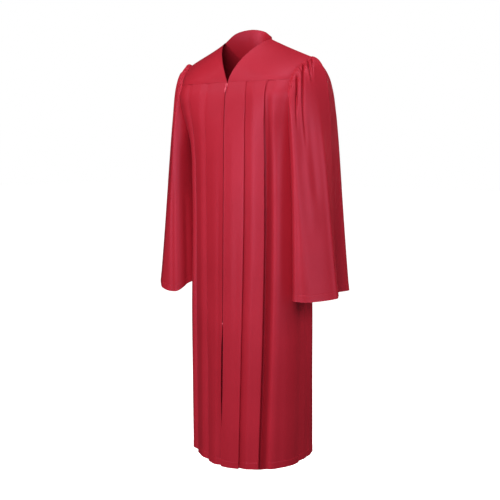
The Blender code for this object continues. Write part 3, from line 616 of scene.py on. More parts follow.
def armhole_line(turns):
    """Armhole edge and the direction out of the body there, at turns from the shoulder tip."""
    halves = []
    for behind in (False, True):
        upper = upper_armhole(behind, np.linspace(1, 0, 41))
        heights = UNDERARM_Z + (YOKE_Z - UNDERARM_Z) * (1 - np.sin(np.linspace(0, math.pi / 2, 41)[1:]))
        lower = []
        lower_out = []
        for z in heights:
            end = armhole_length(z, behind)
            point = on_body(z, behind, [end, end], np.array([0.0, 1.0]))
            lower.append(point[0])
            lower_out.append(point[1] - point[0])
        blend = smoothstep(np.linspace(0, 1, 41), 0, 1)[:, None]
        upper_out = TIP_OUT * (1 - blend) + lower_out[0] * blend
        points = np.concatenate([upper, lower])
        outs = np.concatenate([upper_out, lower_out])
        outs /= np.linalg.norm(outs, axis=1)[:, None]
        length = np.concatenate([[0], np.cumsum(np.linalg.norm(np.diff(points, axis=0), axis=1))])
        halves.append((length / length[-1] * 0.5, points, outs))
    points = []
    outs = []
    for turn in turns % 1.0:
        behind = turn > 0.5
        place, line, out = halves[1 if behind else 0]
        at = 1.0 - turn if behind else turn
        points.append([np.interp(at, place, line[:, k]) for k in range(3)])
        outs.append([np.interp(at, place, out[:, k]) for k in range(3)])
    outs = np.array(outs)
    return np.array(points), outs / np.linalg.norm(outs, axis=1)[:, None]


def sleeve_turns(columns):
    """Turns round the sleeve, closer together over the gathered cap."""
    even = np.linspace(0.0, 1.0, 2001)
    crowd = 1.0 + SLEEVE_CROWD * (smoothstep(np.cos(2 * math.pi * even), -0.2, 0.5))
    total = np.concatenate([[0.0], np.cumsum((crowd[1:] + crowd[:-1]) / 2)])
    return np.interp(np.linspace(0, total[-1], columns + 1)[:-1], total, even)


# Creases of a sleeve: round from the shoulder tip, from one share of its length to another
SLEEVE_CREASE_COLUMNS = ("turn", "lean", "start", "stop", "width", "depth")
LEFT_SLEEVE_CREASES = (
    (0.070, 0.000, 0.10, 1.30, 0.016, 0.0040),
    (0.118, 0.006, 0.16, 0.62, 0.014, -0.0022),
    (0.150, -0.010, 0.30, 0.75, 0.018, 0.0022),
    (0.235, 0.010, 0.34, 1.30, 0.016, -0.0020),
    (0.340, 0.000, 0.30, 1.30, 0.018, -0.0030),
    (0.440, 0.006, 0.26, 0.90, 0.018, 0.0020),
    (0.580, 0.000, 0.30, 1.30, 0.020, -0.0028),
    (0.690, 0.006, 0.22, 1.30, 0.017, -0.0026),
    (0.765, 0.004, 0.18, 0.85, 0.015, -0.0022),
    (0.850, 0.000, 0.14, 1.30, 0.016, 0.0022),
    (0.955, -0.010, 0.16, 0.72, 0.016, -0.0024),
)
RIGHT_SLEEVE_CREASES = (
    (0.062, 0.004, 0.12, 1.30, 0.016, 0.0032),
    (0.130, 0.004, 0.20, 0.80, 0.015, -0.0024),
    (0.170, -0.006, 0.36, 1.30, 0.018, 0.0020),
    (0.245, 0.008, 0.30, 1.30, 0.016, -0.0024),
    (0.355, 0.000, 0.34, 1.30, 0.018, -0.0028),
    (0.450, 0.004, 0.30, 0.86, 0.018, 0.0018),
    (0.600, 0.000, 0.26, 1.30, 0.020, -0.0026),
    (0.700, 0.004, 0.20, 1.30, 0.017, -0.0030),
    (0.790, 0.004, 0.22, 0.80, 0.015, -0.0020),
    (0.870, 0.000, 0.16, 1.30, 0.016, 0.0026),
    (0.945, -0.008, 0.18, 0.66, 0.015, -0.0022),
)
# Small puckers where the gathered cap is sewn in: first and last turn, spacing, depth and length
PUCKER_FROM = -0.16
PUCKER_TO = 0.25
PUCKER_COUNT = 34
PUCKER_DEPTH = 0.0011
PUCKER_LENGTH = 0.030


def turn_gap(turns, turn):
    return (turns - turn + 0.5) % 1.0 - 0.5


def pucker_lift(turns, reach, seed):
    """Short uneven puckers at the armhole seam of the cap."""
    draw = np.random.default_rng(seed)
    lift = np.zeros(reach.shape)
    for place in np.linspace(PUCKER_FROM, PUCKER_TO, PUCKER_COUNT):
        turn = place + draw.uniform(-0.004, 0.004)
        width = draw.uniform(0.0022, 0.0040)
        length = PUCKER_LENGTH * draw.uniform(0.5, 1.3)
        depth = PUCKER_DEPTH * draw.uniform(0.5, 1.2)
        across = np.exp(-(turn_gap(turns, turn) / width) ** 2)[None, :]
        down = smoothstep(reach, 0.0008, 0.004) * (1 - smoothstep(reach, 0.3 * length, length))
        lift -= depth * across * down
    return lift


def gather_lift(turns, reach, table):
    """Lift of the gathers of a cap, by turn and by the distance from the armhole seam."""
    lift = np.zeros(reach.shape)
    for turn, swing, settle, start, length, width, depth in table:
        centre = turn + swing * (1.0 - np.exp(-reach / settle))
        across = np.exp(-(turn_gap(turns[None, :], centre) / width) ** 2)
        sets_in = smoothstep(reach, start, start + GATHER_START)
        lift += depth * across * sets_in * (1 - smoothstep(reach, 0.35 * length, length))
    return lift


def sleeve_grid(cuffs, gathers, table, seed, columns=300, rows=128):
    """A sleeve as rings from the armhole to the cuff, in the left sleeve's place."""
    turns = sleeve_turns(columns)
    edge, outward = armhole_line(turns)
    start = edge + outward * ARMHOLE_LIFT
    knots = column(cuffs, SLEEVE_COLUMNS, "turn")
    leave = curve(knots, [row[1:4] for row in cuffs], turns, period=1.0)
    cuff = curve(knots, [row[4:7] for row in cuffs], turns, period=1.0)
    above = cuff + np.array([0.0, 0.0, SLEEVE_DROP])
    above[:, 0] -= SLEEVE_LEAN * smoothstep(cuff[:, 0], *LEAN_FROM)
    grid = []
    for t in sleeve_rings(rows):
        grid.append(start * (1 - t) ** 3 + 3 * (start + leave) * t * (1 - t) ** 2
                    + 3 * above * t * t * (1 - t) + cuff * t ** 3)
    grid = np.array(grid)
    normal = grid_normals(grid, True)
    steps = np.linalg.norm(np.diff(grid, axis=0), axis=2)
    reach = np.concatenate([np.zeros((1, columns)), np.cumsum(steps, axis=0)])
    share = reach / reach[-1]
    push = pucker_lift(turns, reach, seed) + gather_lift(turns, reach, gathers)
    for turn, lean, first, last, width, depth in table:
        span = (share - first) / (last - first)
        fade = smoothstep(span, 0.0, 0.3) * (1 - smoothstep(span, 0.7, 1.0))
        push += depth * fade * np.exp(-(turn_gap(turns[None, :], turn + lean * span) / width) ** 2)
    around = np.cos(2 * math.pi * turns)[None, :] * 0.12
    push += ripple(around + 0.3 * turns[None, :], share * 0.8, seed, 0.0008) * smoothstep(share, 0.02, 0.2)
    push += hem_relief(reach[-1] - reach + HEM_Z)
    shaped = grid + normal * push[:, :, None]
    inner = np.cross(outward, np.roll(edge, -1, axis=0) - np.roll(edge, 1, axis=0))
    inner *= -np.sign(inner[0, 0]) / np.linalg.norm(inner, axis=1)[:, None]
    sewn = edge + inner * SEAM_LAP + outward * SEAM_LIFT
    return np.concatenate([sewn[None], shaped])


def sleeve_rings(rows):
    """Shares of the sleeve's length: close together at the cap, along the hem's stitching and its edge."""
    end_speed = 3.0 * SLEEVE_DROP
    near_hem = 1.0 - (HEM_FOLD + np.linspace(-0.003, 0.003, 7)) / end_speed
    edge = 1.0 - np.array([0.0012, 0.0030, 0.0052]) / end_speed
    return np.unique(np.concatenate([np.linspace(0.0, 1.0, rows) ** RING_POWER, near_hem, edge]))


def lengths(grid, axis):
    """Distance along the rows or columns of a grid."""
    steps = np.linalg.norm(np.diff(grid, axis=axis), axis=2)
    start = np.zeros_like(grid[:1, :, 0] if axis == 0 else grid[:, :1, 0])
    return np.concatenate([start, np.cumsum(steps, axis=axis)], axis=axis)


def cloth_shell(name, grid, material, closed=False, rolled=(), shell=SHELL):
    """Thin closed shell over a grid, with a map of the cloth in metres; rolled names its turned edges."""
    rows, columns = grid.shape[:2]
    normal = grid_normals(grid, closed)
    along_rows = lengths(grid, 0)
    thick = np.full((rows, columns), shell)
    if "first" in rolled:
        thick += ROLL * np.exp(-(along_rows / ROLL_WIDTH) ** 2)
    if "last" in rolled:
        thick += ROLL * np.exp(-((along_rows[-1:] - along_rows) / ROLL_WIDTH) ** 2)
    if "left" in rolled or "right" in rolled:
        across = lengths(grid, 1)
        gap = across if "left" in rolled else across[:, -1:] - across
        thick += ROLL * np.exp(-(gap / ROLL_WIDTH) ** 2)
    half_step = normal * thick[:, :, None] / 2
    points = np.concatenate([(grid + half_step).reshape(-1, 3), (grid - half_step).reshape(-1, 3)])
    index = np.arange(rows * columns).reshape(rows, columns)
    nxt = np.roll(index, -1, axis=1) if closed else index[:, 1:]
    now = index if closed else index[:, :-1]
    a, b, c, d = (x.ravel() for x in (now[:-1], nxt[:-1], nxt[1:], now[1:]))
    half = rows * columns
    faces = [np.stack([a, b, c, d], 1), np.stack([a, d, c, b], 1) + half]
    top, top_next = now[0], nxt[0]
    faces.append(np.stack([top, top + half, top_next + half, top_next], 1))
    low, low_next = now[-1], nxt[-1]
    faces.append(np.stack([low_next, low_next + half, low + half, low], 1))
    if not closed:
        first, second = index[:-1, 0], index[1:, 0]
        faces.append(np.stack([first, second, second + half, first + half], 1))
        first, second = index[:-1, -1], index[1:, -1]
        faces.append(np.stack([second, first, first + half, second + half], 1))
    faces = np.concatenate(faces)
    mesh = bpy.data.meshes.new(name)
    mesh.vertices.add(len(points))
    mesh.vertices.foreach_set("co", points.astype(np.float32).ravel())
    mesh.loops.add(faces.size)
    mesh.loops.foreach_set("vertex_index", faces.astype(np.int32).ravel())
    mesh.polygons.add(len(faces))
    mesh.polygons.foreach_set("loop_start", np.arange(0, faces.size, 4, dtype=np.int32))
    mesh.update(calc_edges=True)
    mesh.validate()
    width = lengths(grid, 1)
    width = width - width[:, :1]
    chart = np.stack([width, along_rows], axis=-1).reshape(-1, 2)
    chart = np.concatenate([chart, chart])
    layer = mesh.uv_layers.new(name="cloth")
    layer.data.foreach_set("uv", chart[faces.ravel()].astype(np.float32).ravel())
    mesh.shade_smooth()
    mesh.set_sharp_from_angle(angle=math.radians(60))
    mesh.materials.append(material)
    piece = bpy.data.objects.new(name, mesh)
    bpy.context.scene.collection.objects.link(piece)
    return piece


def nodes_of(material):
    material.use_nodes = True
    tree = material.node_tree
    return tree, tree.nodes["Principled BSDF"]


def add_node(tree, kind, **inputs):
    node = tree.nodes.new(kind)
    for name, value in inputs.items():
        node.inputs[name.replace("_", " ")].default_value = value
    return node


def link_maths(tree, operation, first, second):
    node = tree.nodes.new("ShaderNodeMath")
    node.operation = operation
    tree.links.new(first, node.inputs[0])
    tree.links.new(second, node.inputs[1])
    return node.outputs["Value"]


def toned(tree, shader, source, dark, light, low=0.30, high=0.72):
    """Colour of a shader between two tones, by a value."""
    tone = tree.nodes.new("ShaderNodeValToRGB")
    tone.color_ramp.elements[0].position = low
    tone.color_ramp.elements[0].color = (*dark, 1.0)
    tone.color_ramp.elements[1].position = high
    tone.color_ramp.elements[1].color = (*light, 1.0)
    tree.links.new(source, tone.inputs["Fac"])
    tree.links.new(tone.outputs["Color"], shader.inputs["Base Color"])
    return tone


def ranged(tree, source, socket, low, high):
    spread = tree.nodes.new("ShaderNodeMapRange")
    spread.inputs["To Min"].default_value = low
    spread.inputs["To Max"].default_value = high
    tree.links.new(source, spread.inputs["Value"])
    tree.links.new(spread.outputs["Result"], socket)


def bumped(tree, shader, height, strength, distance):
    bump = add_node(tree, "ShaderNodeBump", Strength=strength, Distance=distance)
    tree.links.new(height, bump.inputs["Height"])
    tree.links.new(bump.outputs["Normal"], shader.inputs["Normal"])


def woven_material(name, dark, light, weave_scale, bump_strength):
    """Woven polyester: uneven tone, slubs along the cloth, crossing threads, a faint pink gloss."""
    material = bpy.data.materials.new(name)
    tree, shader = nodes_of(material)
    link = tree.links.new
    chart = tree.nodes.new("ShaderNodeUVMap")
    chart.uv_map = "cloth"
    place = tree.nodes.new("ShaderNodeTexCoord")
    broad = add_node(tree, "ShaderNodeTexNoise", Scale=5.0, Detail=4.0, Roughness=0.55)
    link(place.outputs["Object"], broad.inputs["Vector"])
    stretch = tree.nodes.new("ShaderNodeMapping")
    stretch.inputs["Scale"].default_value = (1.0, 0.06, 1.0)
    link(chart.outputs["UV"], stretch.inputs["Vector"])
    slub = add_node(tree, "ShaderNodeTexNoise", Scale=900.0, Detail=2.0, Roughness=0.6)
    link(stretch.outputs["Vector"], slub.inputs["Vector"])
    tone = toned(tree, shader, broad.outputs["Fac"], dark, light)
    grain = tree.nodes.new("ShaderNodeMix")
    grain.data_type = "RGBA"
    grain.blend_type = "MULTIPLY"
    grain.inputs["Factor"].default_value = 0.10
    link(tone.outputs["Color"], grain.inputs["A"])
    link(slub.outputs["Color"], grain.inputs["B"])
    link(grain.outputs["Result"], shader.inputs["Base Color"])
    threads = []
    for direction in ("X", "Y"):
        thread = tree.nodes.new("ShaderNodeTexWave")
        thread.bands_direction = direction
        thread.inputs["Scale"].default_value = weave_scale
        thread.inputs["Distortion"].default_value = 0.6
        link(chart.outputs["UV"], thread.inputs["Vector"])
        threads.append(thread.outputs["Fac"])
    crossing = link_maths(tree, "MULTIPLY", *threads)
    height = link_maths(tree, "ADD", crossing, slub.outputs["Fac"])
    bumped(tree, shader, height, bump_strength, 0.0002)
    ranged(tree, broad.outputs["Fac"], shader.inputs["Roughness"], 0.46, 0.54)
    shader.inputs["IOR"].default_value = 1.32
    shader.inputs["Specular IOR Level"].default_value = 0.85
    shader.inputs["Specular Tint"].default_value = (1.0, 0.62, 1.0, 1.0)
    shader.inputs["Sheen Weight"].default_value = 0.02
    shader.inputs["Sheen Roughness"].default_value = 0.40
    shader.inputs["Sheen Tint"].default_value = (1.0, 0.30, 0.40, 1.0)
    return material


def thread_material():
    """Twisted sewing thread in the cloth's own colour."""
    material = bpy.data.materials.new("crimson_thread")
    tree, shader = nodes_of(material)
    place = tree.nodes.new("ShaderNodeTexCoord")
    twist = add_node(tree, "ShaderNodeTexWave", Scale=900.0, Distortion=1.5)
    twist.bands_direction = "DIAGONAL"
    tree.links.new(place.outputs["Object"], twist.inputs["Vector"])
    toned(tree, shader, twist.outputs["Fac"], (0.300, 0.0100, 0.0200), (0.400, 0.0150, 0.0280))
    bumped(tree, shader, twist.outputs["Fac"], 0.3, 0.0001)
    ranged(tree, twist.outputs["Fac"], shader.inputs["Roughness"], 0.50, 0.65)
    return material


def hard_material(name, dark, light, roughness, speck_scale):
    """Moulded or enamelled small part: faint mottling, lighter on its sharper edges."""
    material = bpy.data.materials.new(name)
    tree, shader = nodes_of(material)
    place = tree.nodes.new("ShaderNodeTexCoord")
    mottle = add_node(tree, "ShaderNodeTexNoise", Scale=speck_scale, Detail=5.0, Roughness=0.6)
    tree.links.new(place.outputs["Object"], mottle.inputs["Vector"])
    form = tree.nodes.new("ShaderNodeNewGeometry")
    # Tone from the mottling times the pointiness: lighter on sharp edges.
    edge_mottle = link_maths(tree, "MULTIPLY", form.outputs["Pointiness"], mottle.outputs["Fac"])
    toned(tree, shader, edge_mottle, dark, light, 0.15, 0.40)
    bumped(tree, shader, mottle.outputs["Fac"], 0.08, 0.0001)
    ranged(tree, mottle.outputs["Fac"], shader.inputs["Roughness"], roughness, roughness + 0.14)
    return material


def front_line(z):
    return np.array([0.0, -float(read(BODY, BODY_COLUMNS, "front", z)), z])


def zip_frame(z):
    """A place on the centre front: its point, the way up along the cloth and the way out of it."""
    up = front_line(z + 0.006) - front_line(z - 0.006)
    up /= np.linalg.norm(up)
    out = np.array([0.0, -up[2], up[1]])
    return front_line(z), up, out


def seated(points, z, up_shift=0.0, out_shift=0.0):
    """Points given as across, up and out, set on the centre front at a height."""
    middle, up, out = zip_frame(z)
    points = np.asarray(points, float)
    across = np.array([1.0, 0.0, 0.0])
    return (middle + points[:, :1] * across + (points[:, 1:2] + up_shift) * up
            + (points[:, 2:] + out_shift) * out)


def mesh_piece(name, parts, material):
    """One piece from several parts, each its points and its faces."""
    points = []
    faces = []
    for part_points, part_faces in parts:
        start = len(points)
        points += [tuple(map(float, point)) for point in part_points]
        faces += [tuple(index + start for index in face) for face in part_faces]
    mesh = bpy.data.meshes.new(name)
    mesh.from_pydata(points, [], faces)
    shape = bmesh.new()
    shape.from_mesh(mesh)
    bmesh.ops.recalc_face_normals(shape, faces=shape.faces)
    shape.to_mesh(mesh)
    shape.free()
    mesh.shade_smooth()
    mesh.set_sharp_from_angle(angle=math.radians(50))
    mesh.materials.append(material)
    piece = bpy.data.objects.new(name, mesh)
    bpy.context.scene.collection.objects.link(piece)
    return piece


def ring_faces(rings, count, loop=False):
    faces = []
    for ring in range(rings if loop else rings - 1):
        low, high = ring * count, (ring + 1) % rings * count
        faces += [(low + k, low + (k + 1) % count, high + (k + 1) % count, high + k) for k in range(count)]
    return faces


def rounded_outline(half_width, half_height, middle=0.0, square=0.55, count=32, lower_half_width=None):
    """Rounded outline in across and up; it may be narrower at its lower end."""
    outline = []
    for k in range(count):
        turn = 2 * math.pi * (k + 0.5) / count
        across = math.copysign(abs(math.cos(turn)) ** square, math.cos(turn))
        up = math.copysign(abs(math.sin(turn)) ** square, math.sin(turn))
        narrow = half_width if lower_half_width is None else lower_half_width
        width = narrow + (half_width - narrow) * (up + 1) / 2
        outline.append((across * width, middle + up * half_height))
    return np.array(outline)


def inset(outline, amount):
    centre = (outline.max(0) + outline.min(0)) / 2
    half = (outline.max(0) - outline.min(0)) / 2
    return centre + (outline - centre) * (1 - amount / half)


def raised(outline, out):
    return np.column_stack([outline, np.full(len(outline), out)])


def plate(outline, low, high):
    """Closed plate over an outline, with rounded edges."""
    small = inset(outline, EDGE_ROUND)
    rings = [raised(small, low), raised(outline, low + EDGE_ROUND), raised(outline, high - EDGE_ROUND),
             raised(small, high)]
    count = len(outline)
    faces = ring_faces(len(rings), count)
    faces += [tuple(range(count)), tuple(range(3 * count, 4 * count))]
    return np.concatenate(rings), faces


def holed_plate(outline, hole, half):
    """Closed plate with a hole, with rounded edges."""
    wide_hole = inset(hole, -EDGE_ROUND)
    small = inset(outline, EDGE_ROUND)
    flat = half - EDGE_ROUND
    rings = [raised(outline, -flat), raised(outline, flat), raised(small, half), raised(wide_hole, half),
             raised(hole, flat), raised(hole, -flat), raised(wide_hole, -half), raised(small, -half)]
    return np.concatenate(rings), ring_faces(len(rings), len(outline), loop=True)


def rod(points, half_across, half_thick, sides=12):
    """Closed rod along points, with an oval section; half_across lies across the path's own plane."""
    points = np.asarray(points, float)
    ahead = np.gradient(points, axis=0)
    ahead /= np.linalg.norm(ahead, axis=1)[:, None]
    straight = abs(ahead[0, 0]) > 0.9
    side = np.array([0.0, 1.0, 0.0] if straight else [1.0, 0.0, 0.0])
    rings = []
    for point, way in zip(points, ahead):
        third = np.cross(way, side)
        rings += [point + side * half_across * math.cos(a) + third * half_thick * math.sin(a)
                  for a in np.linspace(0, 2 * math.pi, sides + 1)[:-1]]
    last = (len(points) - 1) * sides
    faces = ring_faces(len(points), sides)
    faces += [tuple(range(sides)), tuple(range(last, last + sides))]
    return np.array(rings), faces


def set_on(parts, z, up_shift=0.0, out_shift=0.0):
    return [(seated(points, z, up_shift, out_shift), faces) for points, faces in parts]


def make_slider(material):
    body = rounded_outline(SLIDER_HALF_WIDTH[1], SLIDER_HALF_HEIGHT, lower_half_width=SLIDER_HALF_WIDTH[0])
    parts = [plate(body, *SLIDER_OUT)]
    for side in (-1, 1):
        flange = rounded_outline(0.0004, SLIDER_HALF_HEIGHT * 0.72, square=0.4, count=16)
        flange[:, 0] += side * 0.0030
        parts.append(plate(flange, FLANGE_OUT, SLIDER_OUT[0] + EDGE_ROUND))
    keel = rounded_outline(KEEL_HALF_WIDTH, SLIDER_HALF_HEIGHT * 0.5, middle=0.0016, count=16)
    parts.append(plate(keel, FLANGE_OUT, SLIDER_OUT[0] + EDGE_ROUND))
    share = np.linspace(0, 1, 25)
    bridge = curve(np.linspace(0, 1, len(BRIDGE_PATH)), BRIDGE_PATH, share)
    parts.append(rod(np.column_stack([np.zeros(25), bridge]), *BRIDGE_HALF))
    return mesh_piece("zip_slider_body", set_on(parts, SLIDER_Z), material)


def make_tab(material):
    middle = -(TAB_ARM_LENGTH + TAB_LENGTH) / 2
    half_height = (TAB_LENGTH - TAB_ARM_LENGTH) / 2
    outline = rounded_outline(TAB_HALF_WIDTH, half_height, middle, lower_half_width=TAB_HALF_WIDTH * 0.86)
    hole_middle, hole_width, hole_height = TAB_HOLE
    hole = rounded_outline(hole_width, hole_height, hole_middle, square=0.8)
    parts = [holed_plate(outline, hole, TAB_HALF_THICKNESS)]
    for side in (-1, 1):
        arm = rounded_outline((TAB_ARM[1] - TAB_ARM[0]) / 2, TAB_ARM_LENGTH / 2 + 0.0006,
                              -TAB_ARM_LENGTH / 2, count=16)
        arm[:, 0] += side * (TAB_ARM[0] + TAB_ARM[1]) / 2
        parts.append(plate(arm, -TAB_HALF_THICKNESS, TAB_HALF_THICKNESS))
    across = np.linspace(-TAB_ARM[1] + 0.0002, TAB_ARM[1] - 0.0002, 7)
    pin = np.column_stack([across, np.zeros(7), np.zeros(7)])
    parts.append(rod(pin, PIN_RADIUS, PIN_RADIUS))
    return mesh_piece("zip_pull_tab", set_on(parts, SLIDER_Z, PIN_UP, PIN_OUT), material)


def make_stop(material):
    block = rounded_outline(STOP_HALF_WIDTH, STOP_HALF_HEIGHT, square=0.5, count=24)
    ridge = rounded_outline(STOP_HALF_WIDTH * 0.7, STOP_HALF_HEIGHT * 0.22, count=16)
    parts = [plate(block, *STOP_OUT), plate(ridge, STOP_OUT[1] - EDGE_ROUND, STOP_OUT[1] + EDGE_ROUND)]
    return mesh_piece("zip_stop", set_on(parts, ZIP_BOTTOM_Z), material)


def make_teeth(material):
    """Interlocked teeth between the tapes, from below the slider down to the bottom stop."""
    parts = []
    inner, outer = TOOTH_SIDE
    low, high = TOOTH_OUT
    faces = [(0, 1, 2, 3), (7, 6, 5, 4), (0, 4, 5, 1), (1, 5, 6, 2), (2, 6, 7, 3), (3, 7, 4, 0)]
    count = int((SLIDER_Z - ZIP_BOTTOM_Z) / TOOTH_PITCH)
    for number in range(2 * count):
        side = 1 if number % 2 else -1
        root, face = TOOTH_HALF_HEIGHT
        points = [(side * inner, -root, low), (side * outer, -root, low), (side * outer, root, low),
                  (side * inner, root, low), (side * inner * 0.4, -face, high), (side * outer * 0.8, -face, high),
                  (side * outer * 0.8, face, high), (side * inner * 0.4, face, high)]
        parts.append((seated(points, SLIDER_Z - (number + 1) * TOOTH_PITCH / 2), faces))
    return mesh_piece("zip_teeth", parts, material)


def tape_grid(side):
    rows = []
    for z in np.linspace(YOKE_Z - TAPE_START, TAPE_END_Z, 90):
        across = np.linspace(TAPE_INNER, TAPE_HALF_WIDTH, 6)[::side]
        points = np.column_stack([side * across, np.zeros(6), np.full(6, TAPE_LIFT)])
        rows.append(seated(points, z))
    return np.array(rows)


# Sewing
STITCH_LENGTH = 0.0026
STITCH_PITCH = 0.0032
STITCH_RADIUS = 0.00021
EDGE_STITCH = 0.0075    # stitching beside the zip and the neck
SEAM_STITCH = 0.0018    # stitching above the yoke seam


def stitch_row(points, outs, thickness):
    """Stitches laid end to end on the outer face along a line."""
    steps = np.linalg.norm(np.diff(points, axis=0), axis=1)
    length = np.concatenate([[0.0], np.cumsum(steps)])
    places = np.arange(STITCH_PITCH / 2, length[-1] - STITCH_PITCH / 2, STITCH_PITCH)
    centre = np.column_stack([np.interp(places, length, points[:, k]) for k in range(3)])
    ahead = np.column_stack([np.interp(places + 0.001, length, points[:, k])
                             - np.interp(places - 0.001, length, points[:, k]) for k in range(3)])
    ahead /= np.linalg.norm(ahead, axis=1)[:, None]
    out = np.column_stack([np.interp(places, length, outs[:, k]) for k in range(3)])
    out -= ahead * (out * ahead).sum(1)[:, None]
    out /= np.linalg.norm(out, axis=1)[:, None]
    side = np.cross(ahead, out)
    base = centre + out * (thickness / 2)
    sides = 5
    profile = ((-0.5, 0.25, -0.10), (-0.22, 0.9, 0.45), (0.22, 0.9, 0.45), (0.5, 0.25, -0.10))
    rings = []
    for share, swell, height in profile:
        for k in range(sides):
            turn = 2 * math.pi * k / sides
            rings.append(base + ahead * share * STITCH_LENGTH
                         + side * (math.cos(turn) * swell * STITCH_RADIUS)
                         + out * ((math.sin(turn) * swell + height) * STITCH_RADIUS))
    points = np.stack(rings, axis=1)
    template = ring_faces(len(profile), sides)
    template += [tuple(range(sides)), tuple(range(3 * sides, 4 * sides))]
    return points, template


def line_at(grid, distance, from_last, closed, by_column=True):
    """Line across a grid at a distance from its first or last row (or column), with its outward way."""
    outs = outward_of(grid, closed)
    if not by_column:
        grid, outs = grid.transpose(1, 0, 2), outs.transpose(1, 0, 2)
    if from_last:
        grid, outs = grid[::-1], outs[::-1]
    reach = lengths(grid, 0)
    points = np.array([[np.interp(distance, reach[:, j], grid[:, j, k]) for k in range(3)]
                       for j in range(grid.shape[1])])
    ways = np.array([[np.interp(distance, reach[:, j], outs[:, j, k]) for k in range(3)]
                     for j in range(grid.shape[1])])
    return points, ways


def outward_of(grid, closed):
    """Directions square to a grid, away from the body's or the sleeve's own middle."""
    normal = grid_normals(grid, closed)
    middle = grid.mean(axis=1, keepdims=True) if closed else np.zeros((1, 1, 3))
    away = grid - middle
    if not closed:
        away = away * np.array([1.0, 1.0, 0.0]) + np.array([0.0, 0.0, 0.05])
    return normal * np.where((normal * away).sum(axis=2, keepdims=True) < 0, -1.0, 1.0)


def sewing_piece(name, rows, material):
    """All stitches of one panel as one piece."""
    points = []
    faces = []
    start = 0
    for stitches, template in rows:
        count, size = stitches.shape[:2]
        points.append(stitches.reshape(-1, 3))
        for number in range(count):
            faces += [tuple(index + start + number * size for index in face) for face in template]
        start += count * size
    mesh = bpy.data.meshes.new(name)
    mesh.from_pydata(np.concatenate(points).tolist(), [], faces)
    mesh.shade_smooth()
    mesh.materials.append(material)
    piece = bpy.data.objects.new(name, mesh)
    bpy.context.scene.collection.objects.link(piece)
    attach(piece, GOWN)
    return piece


def dress(piece, node, body=GOWN):
    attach(piece, body)
    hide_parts(node)


def make_panel(node, grid, cloth, thread, rolled, sewn, closed=False):
    """One cloth piece on its solid's form, with its stitching; sewn names its lines of stitches."""
    piece = cloth_shell("cloth_" + node, grid, cloth, closed=closed, rolled=rolled)
    dress(piece, node)
    rows = []
    for name in sewn:
        distance, from_last, by_column = SEWN_LINES[name]
        points, ways = line_at(grid, distance, from_last, closed, by_column)
        rows.append(stitch_row(points, ways, SHELL))
    sewing_piece("stitches_" + node, rows, thread)


# Lines of stitches: distance from an edge, from the last row or column, across the columns
SEWN_LINES = {
    "hem": (HEM_FOLD - 0.0020, True, True),
    "seam": (SEAM_STITCH, True, True),
    "first_edge": (EDGE_STITCH, False, False),
    "last_edge": (EDGE_STITCH, True, False),
    "neck": (EDGE_STITCH, False, True),
}


def make_cloth(cloth, thread):
    left = front_grid(LAP, 0.0, LEFT_HEM_RISE, LEFT_FRONT_CREASES, 11)
    make_panel("front_left", left, cloth, thread, ("last", "left"), ("hem", "first_edge"))
    right = mirrored(front_grid(0.0, TUCK, RIGHT_HEM_RISE, RIGHT_FRONT_CREASES, 12))[:, ::-1]
    make_panel("front_right", right, cloth, thread, ("last", "right"), ("hem", "last_edge"))
    yoke = front_yoke_grid()[::-1]
    make_panel("front_yoke_left", yoke, cloth, thread, ("left",), ("seam", "first_edge"))
    make_panel("front_yoke_right", mirrored(yoke)[:, ::-1], cloth, thread, ("right",), ("seam", "last_edge"))
    make_panel("back_yoke", back_yoke_grid()[::-1], cloth, thread, (), ("seam", "neck"))
    make_panel("back_panel", back_grid()[:, ::-1], cloth, thread, ("last",), ("hem",))
    left = sleeve_grid(LEFT_SLEEVE, LEFT_GATHERS, LEFT_SLEEVE_CREASES, 21)
    make_panel("sleeve_left", left[:, ::-1], cloth, thread, ("last",), ("hem",), closed=True)
    right = mirrored(sleeve_grid(RIGHT_SLEEVE, RIGHT_GATHERS, RIGHT_SLEEVE_CREASES, 22))
    make_panel("sleeve_right", right, cloth, thread, ("last",), ("hem",), closed=True)


def make_zip():
    tape_cloth = woven_material("zip_tape_cloth", (0.230, 0.0080, 0.0150), (0.300, 0.0110, 0.0200), 260.0, 0.3)
    for side, name in ((1, "zip_tape_left"), (-1, "zip_tape_right")):
        tape = cloth_shell(name, tape_grid(side), tape_cloth, shell=TAPE_SHELL)
        dress(tape, "zip_tape")
    nylon = hard_material("nylon_teeth", (0.120, 0.0060, 0.0120), (0.260, 0.0140, 0.0280), 0.38, 700.0)
    dress(make_teeth(nylon), "zip_tape")
    enamel = hard_material("slider_enamel", (0.520, 0.0450, 0.0800), (0.780, 0.1100, 0.1700), 0.30, 400.0)
    dress(make_slider(enamel), "zip_slider")
    dress(make_stop(enamel), "zip_bottom_stop")
    dress(make_tab(enamel), "zip_pull", PULL_TAB)


# Studio
FLOOR_DROP = 0.45       # the gown hangs this far above the floor
# Name, place, target, size, power, and whether it lights the cloth and whether it glosses it
LIGHTS = (
    ("key_light", (1.45, -3.05, 0.35), (0.0, 0.0, -0.85), 1.6, 109.0, True, False),
    ("front_gloss", (0.0, -2.2, -0.20), (0.0, 0.0, -0.30), 1.1, 20.0, False, True),
    ("side_gloss", (1.9, -1.05, -0.30), (0.2, 0.0, -0.35), 1.0, 13.0, False, True),
    ("left_light", (-1.1, -1.4, 0.85), (-0.05, 0.0, -0.25), 0.8, 17.0, True, False),
    ("side_light", (2.4, 1.3, 0.80), (0.30, 0.0, -0.20), 1.0, 14.0, True, False),
    ("top_gloss", (0.55, -1.00, 1.30), (0.05, 0.0, -0.10), 0.9, 7.0, False, True),
    ("top_light", (0.30, -0.9, 1.70), (0.0, 0.0, -0.05), 1.3, 10.0, True, True),
    ("back_light", (1.3, 3.1, 0.90), (0.0, 0.0, -0.60), 1.6, 95.0, True, False),
)
AMBIENT = 0.14
WHITE = (1.0, 1.0, 1.0, 1.0)


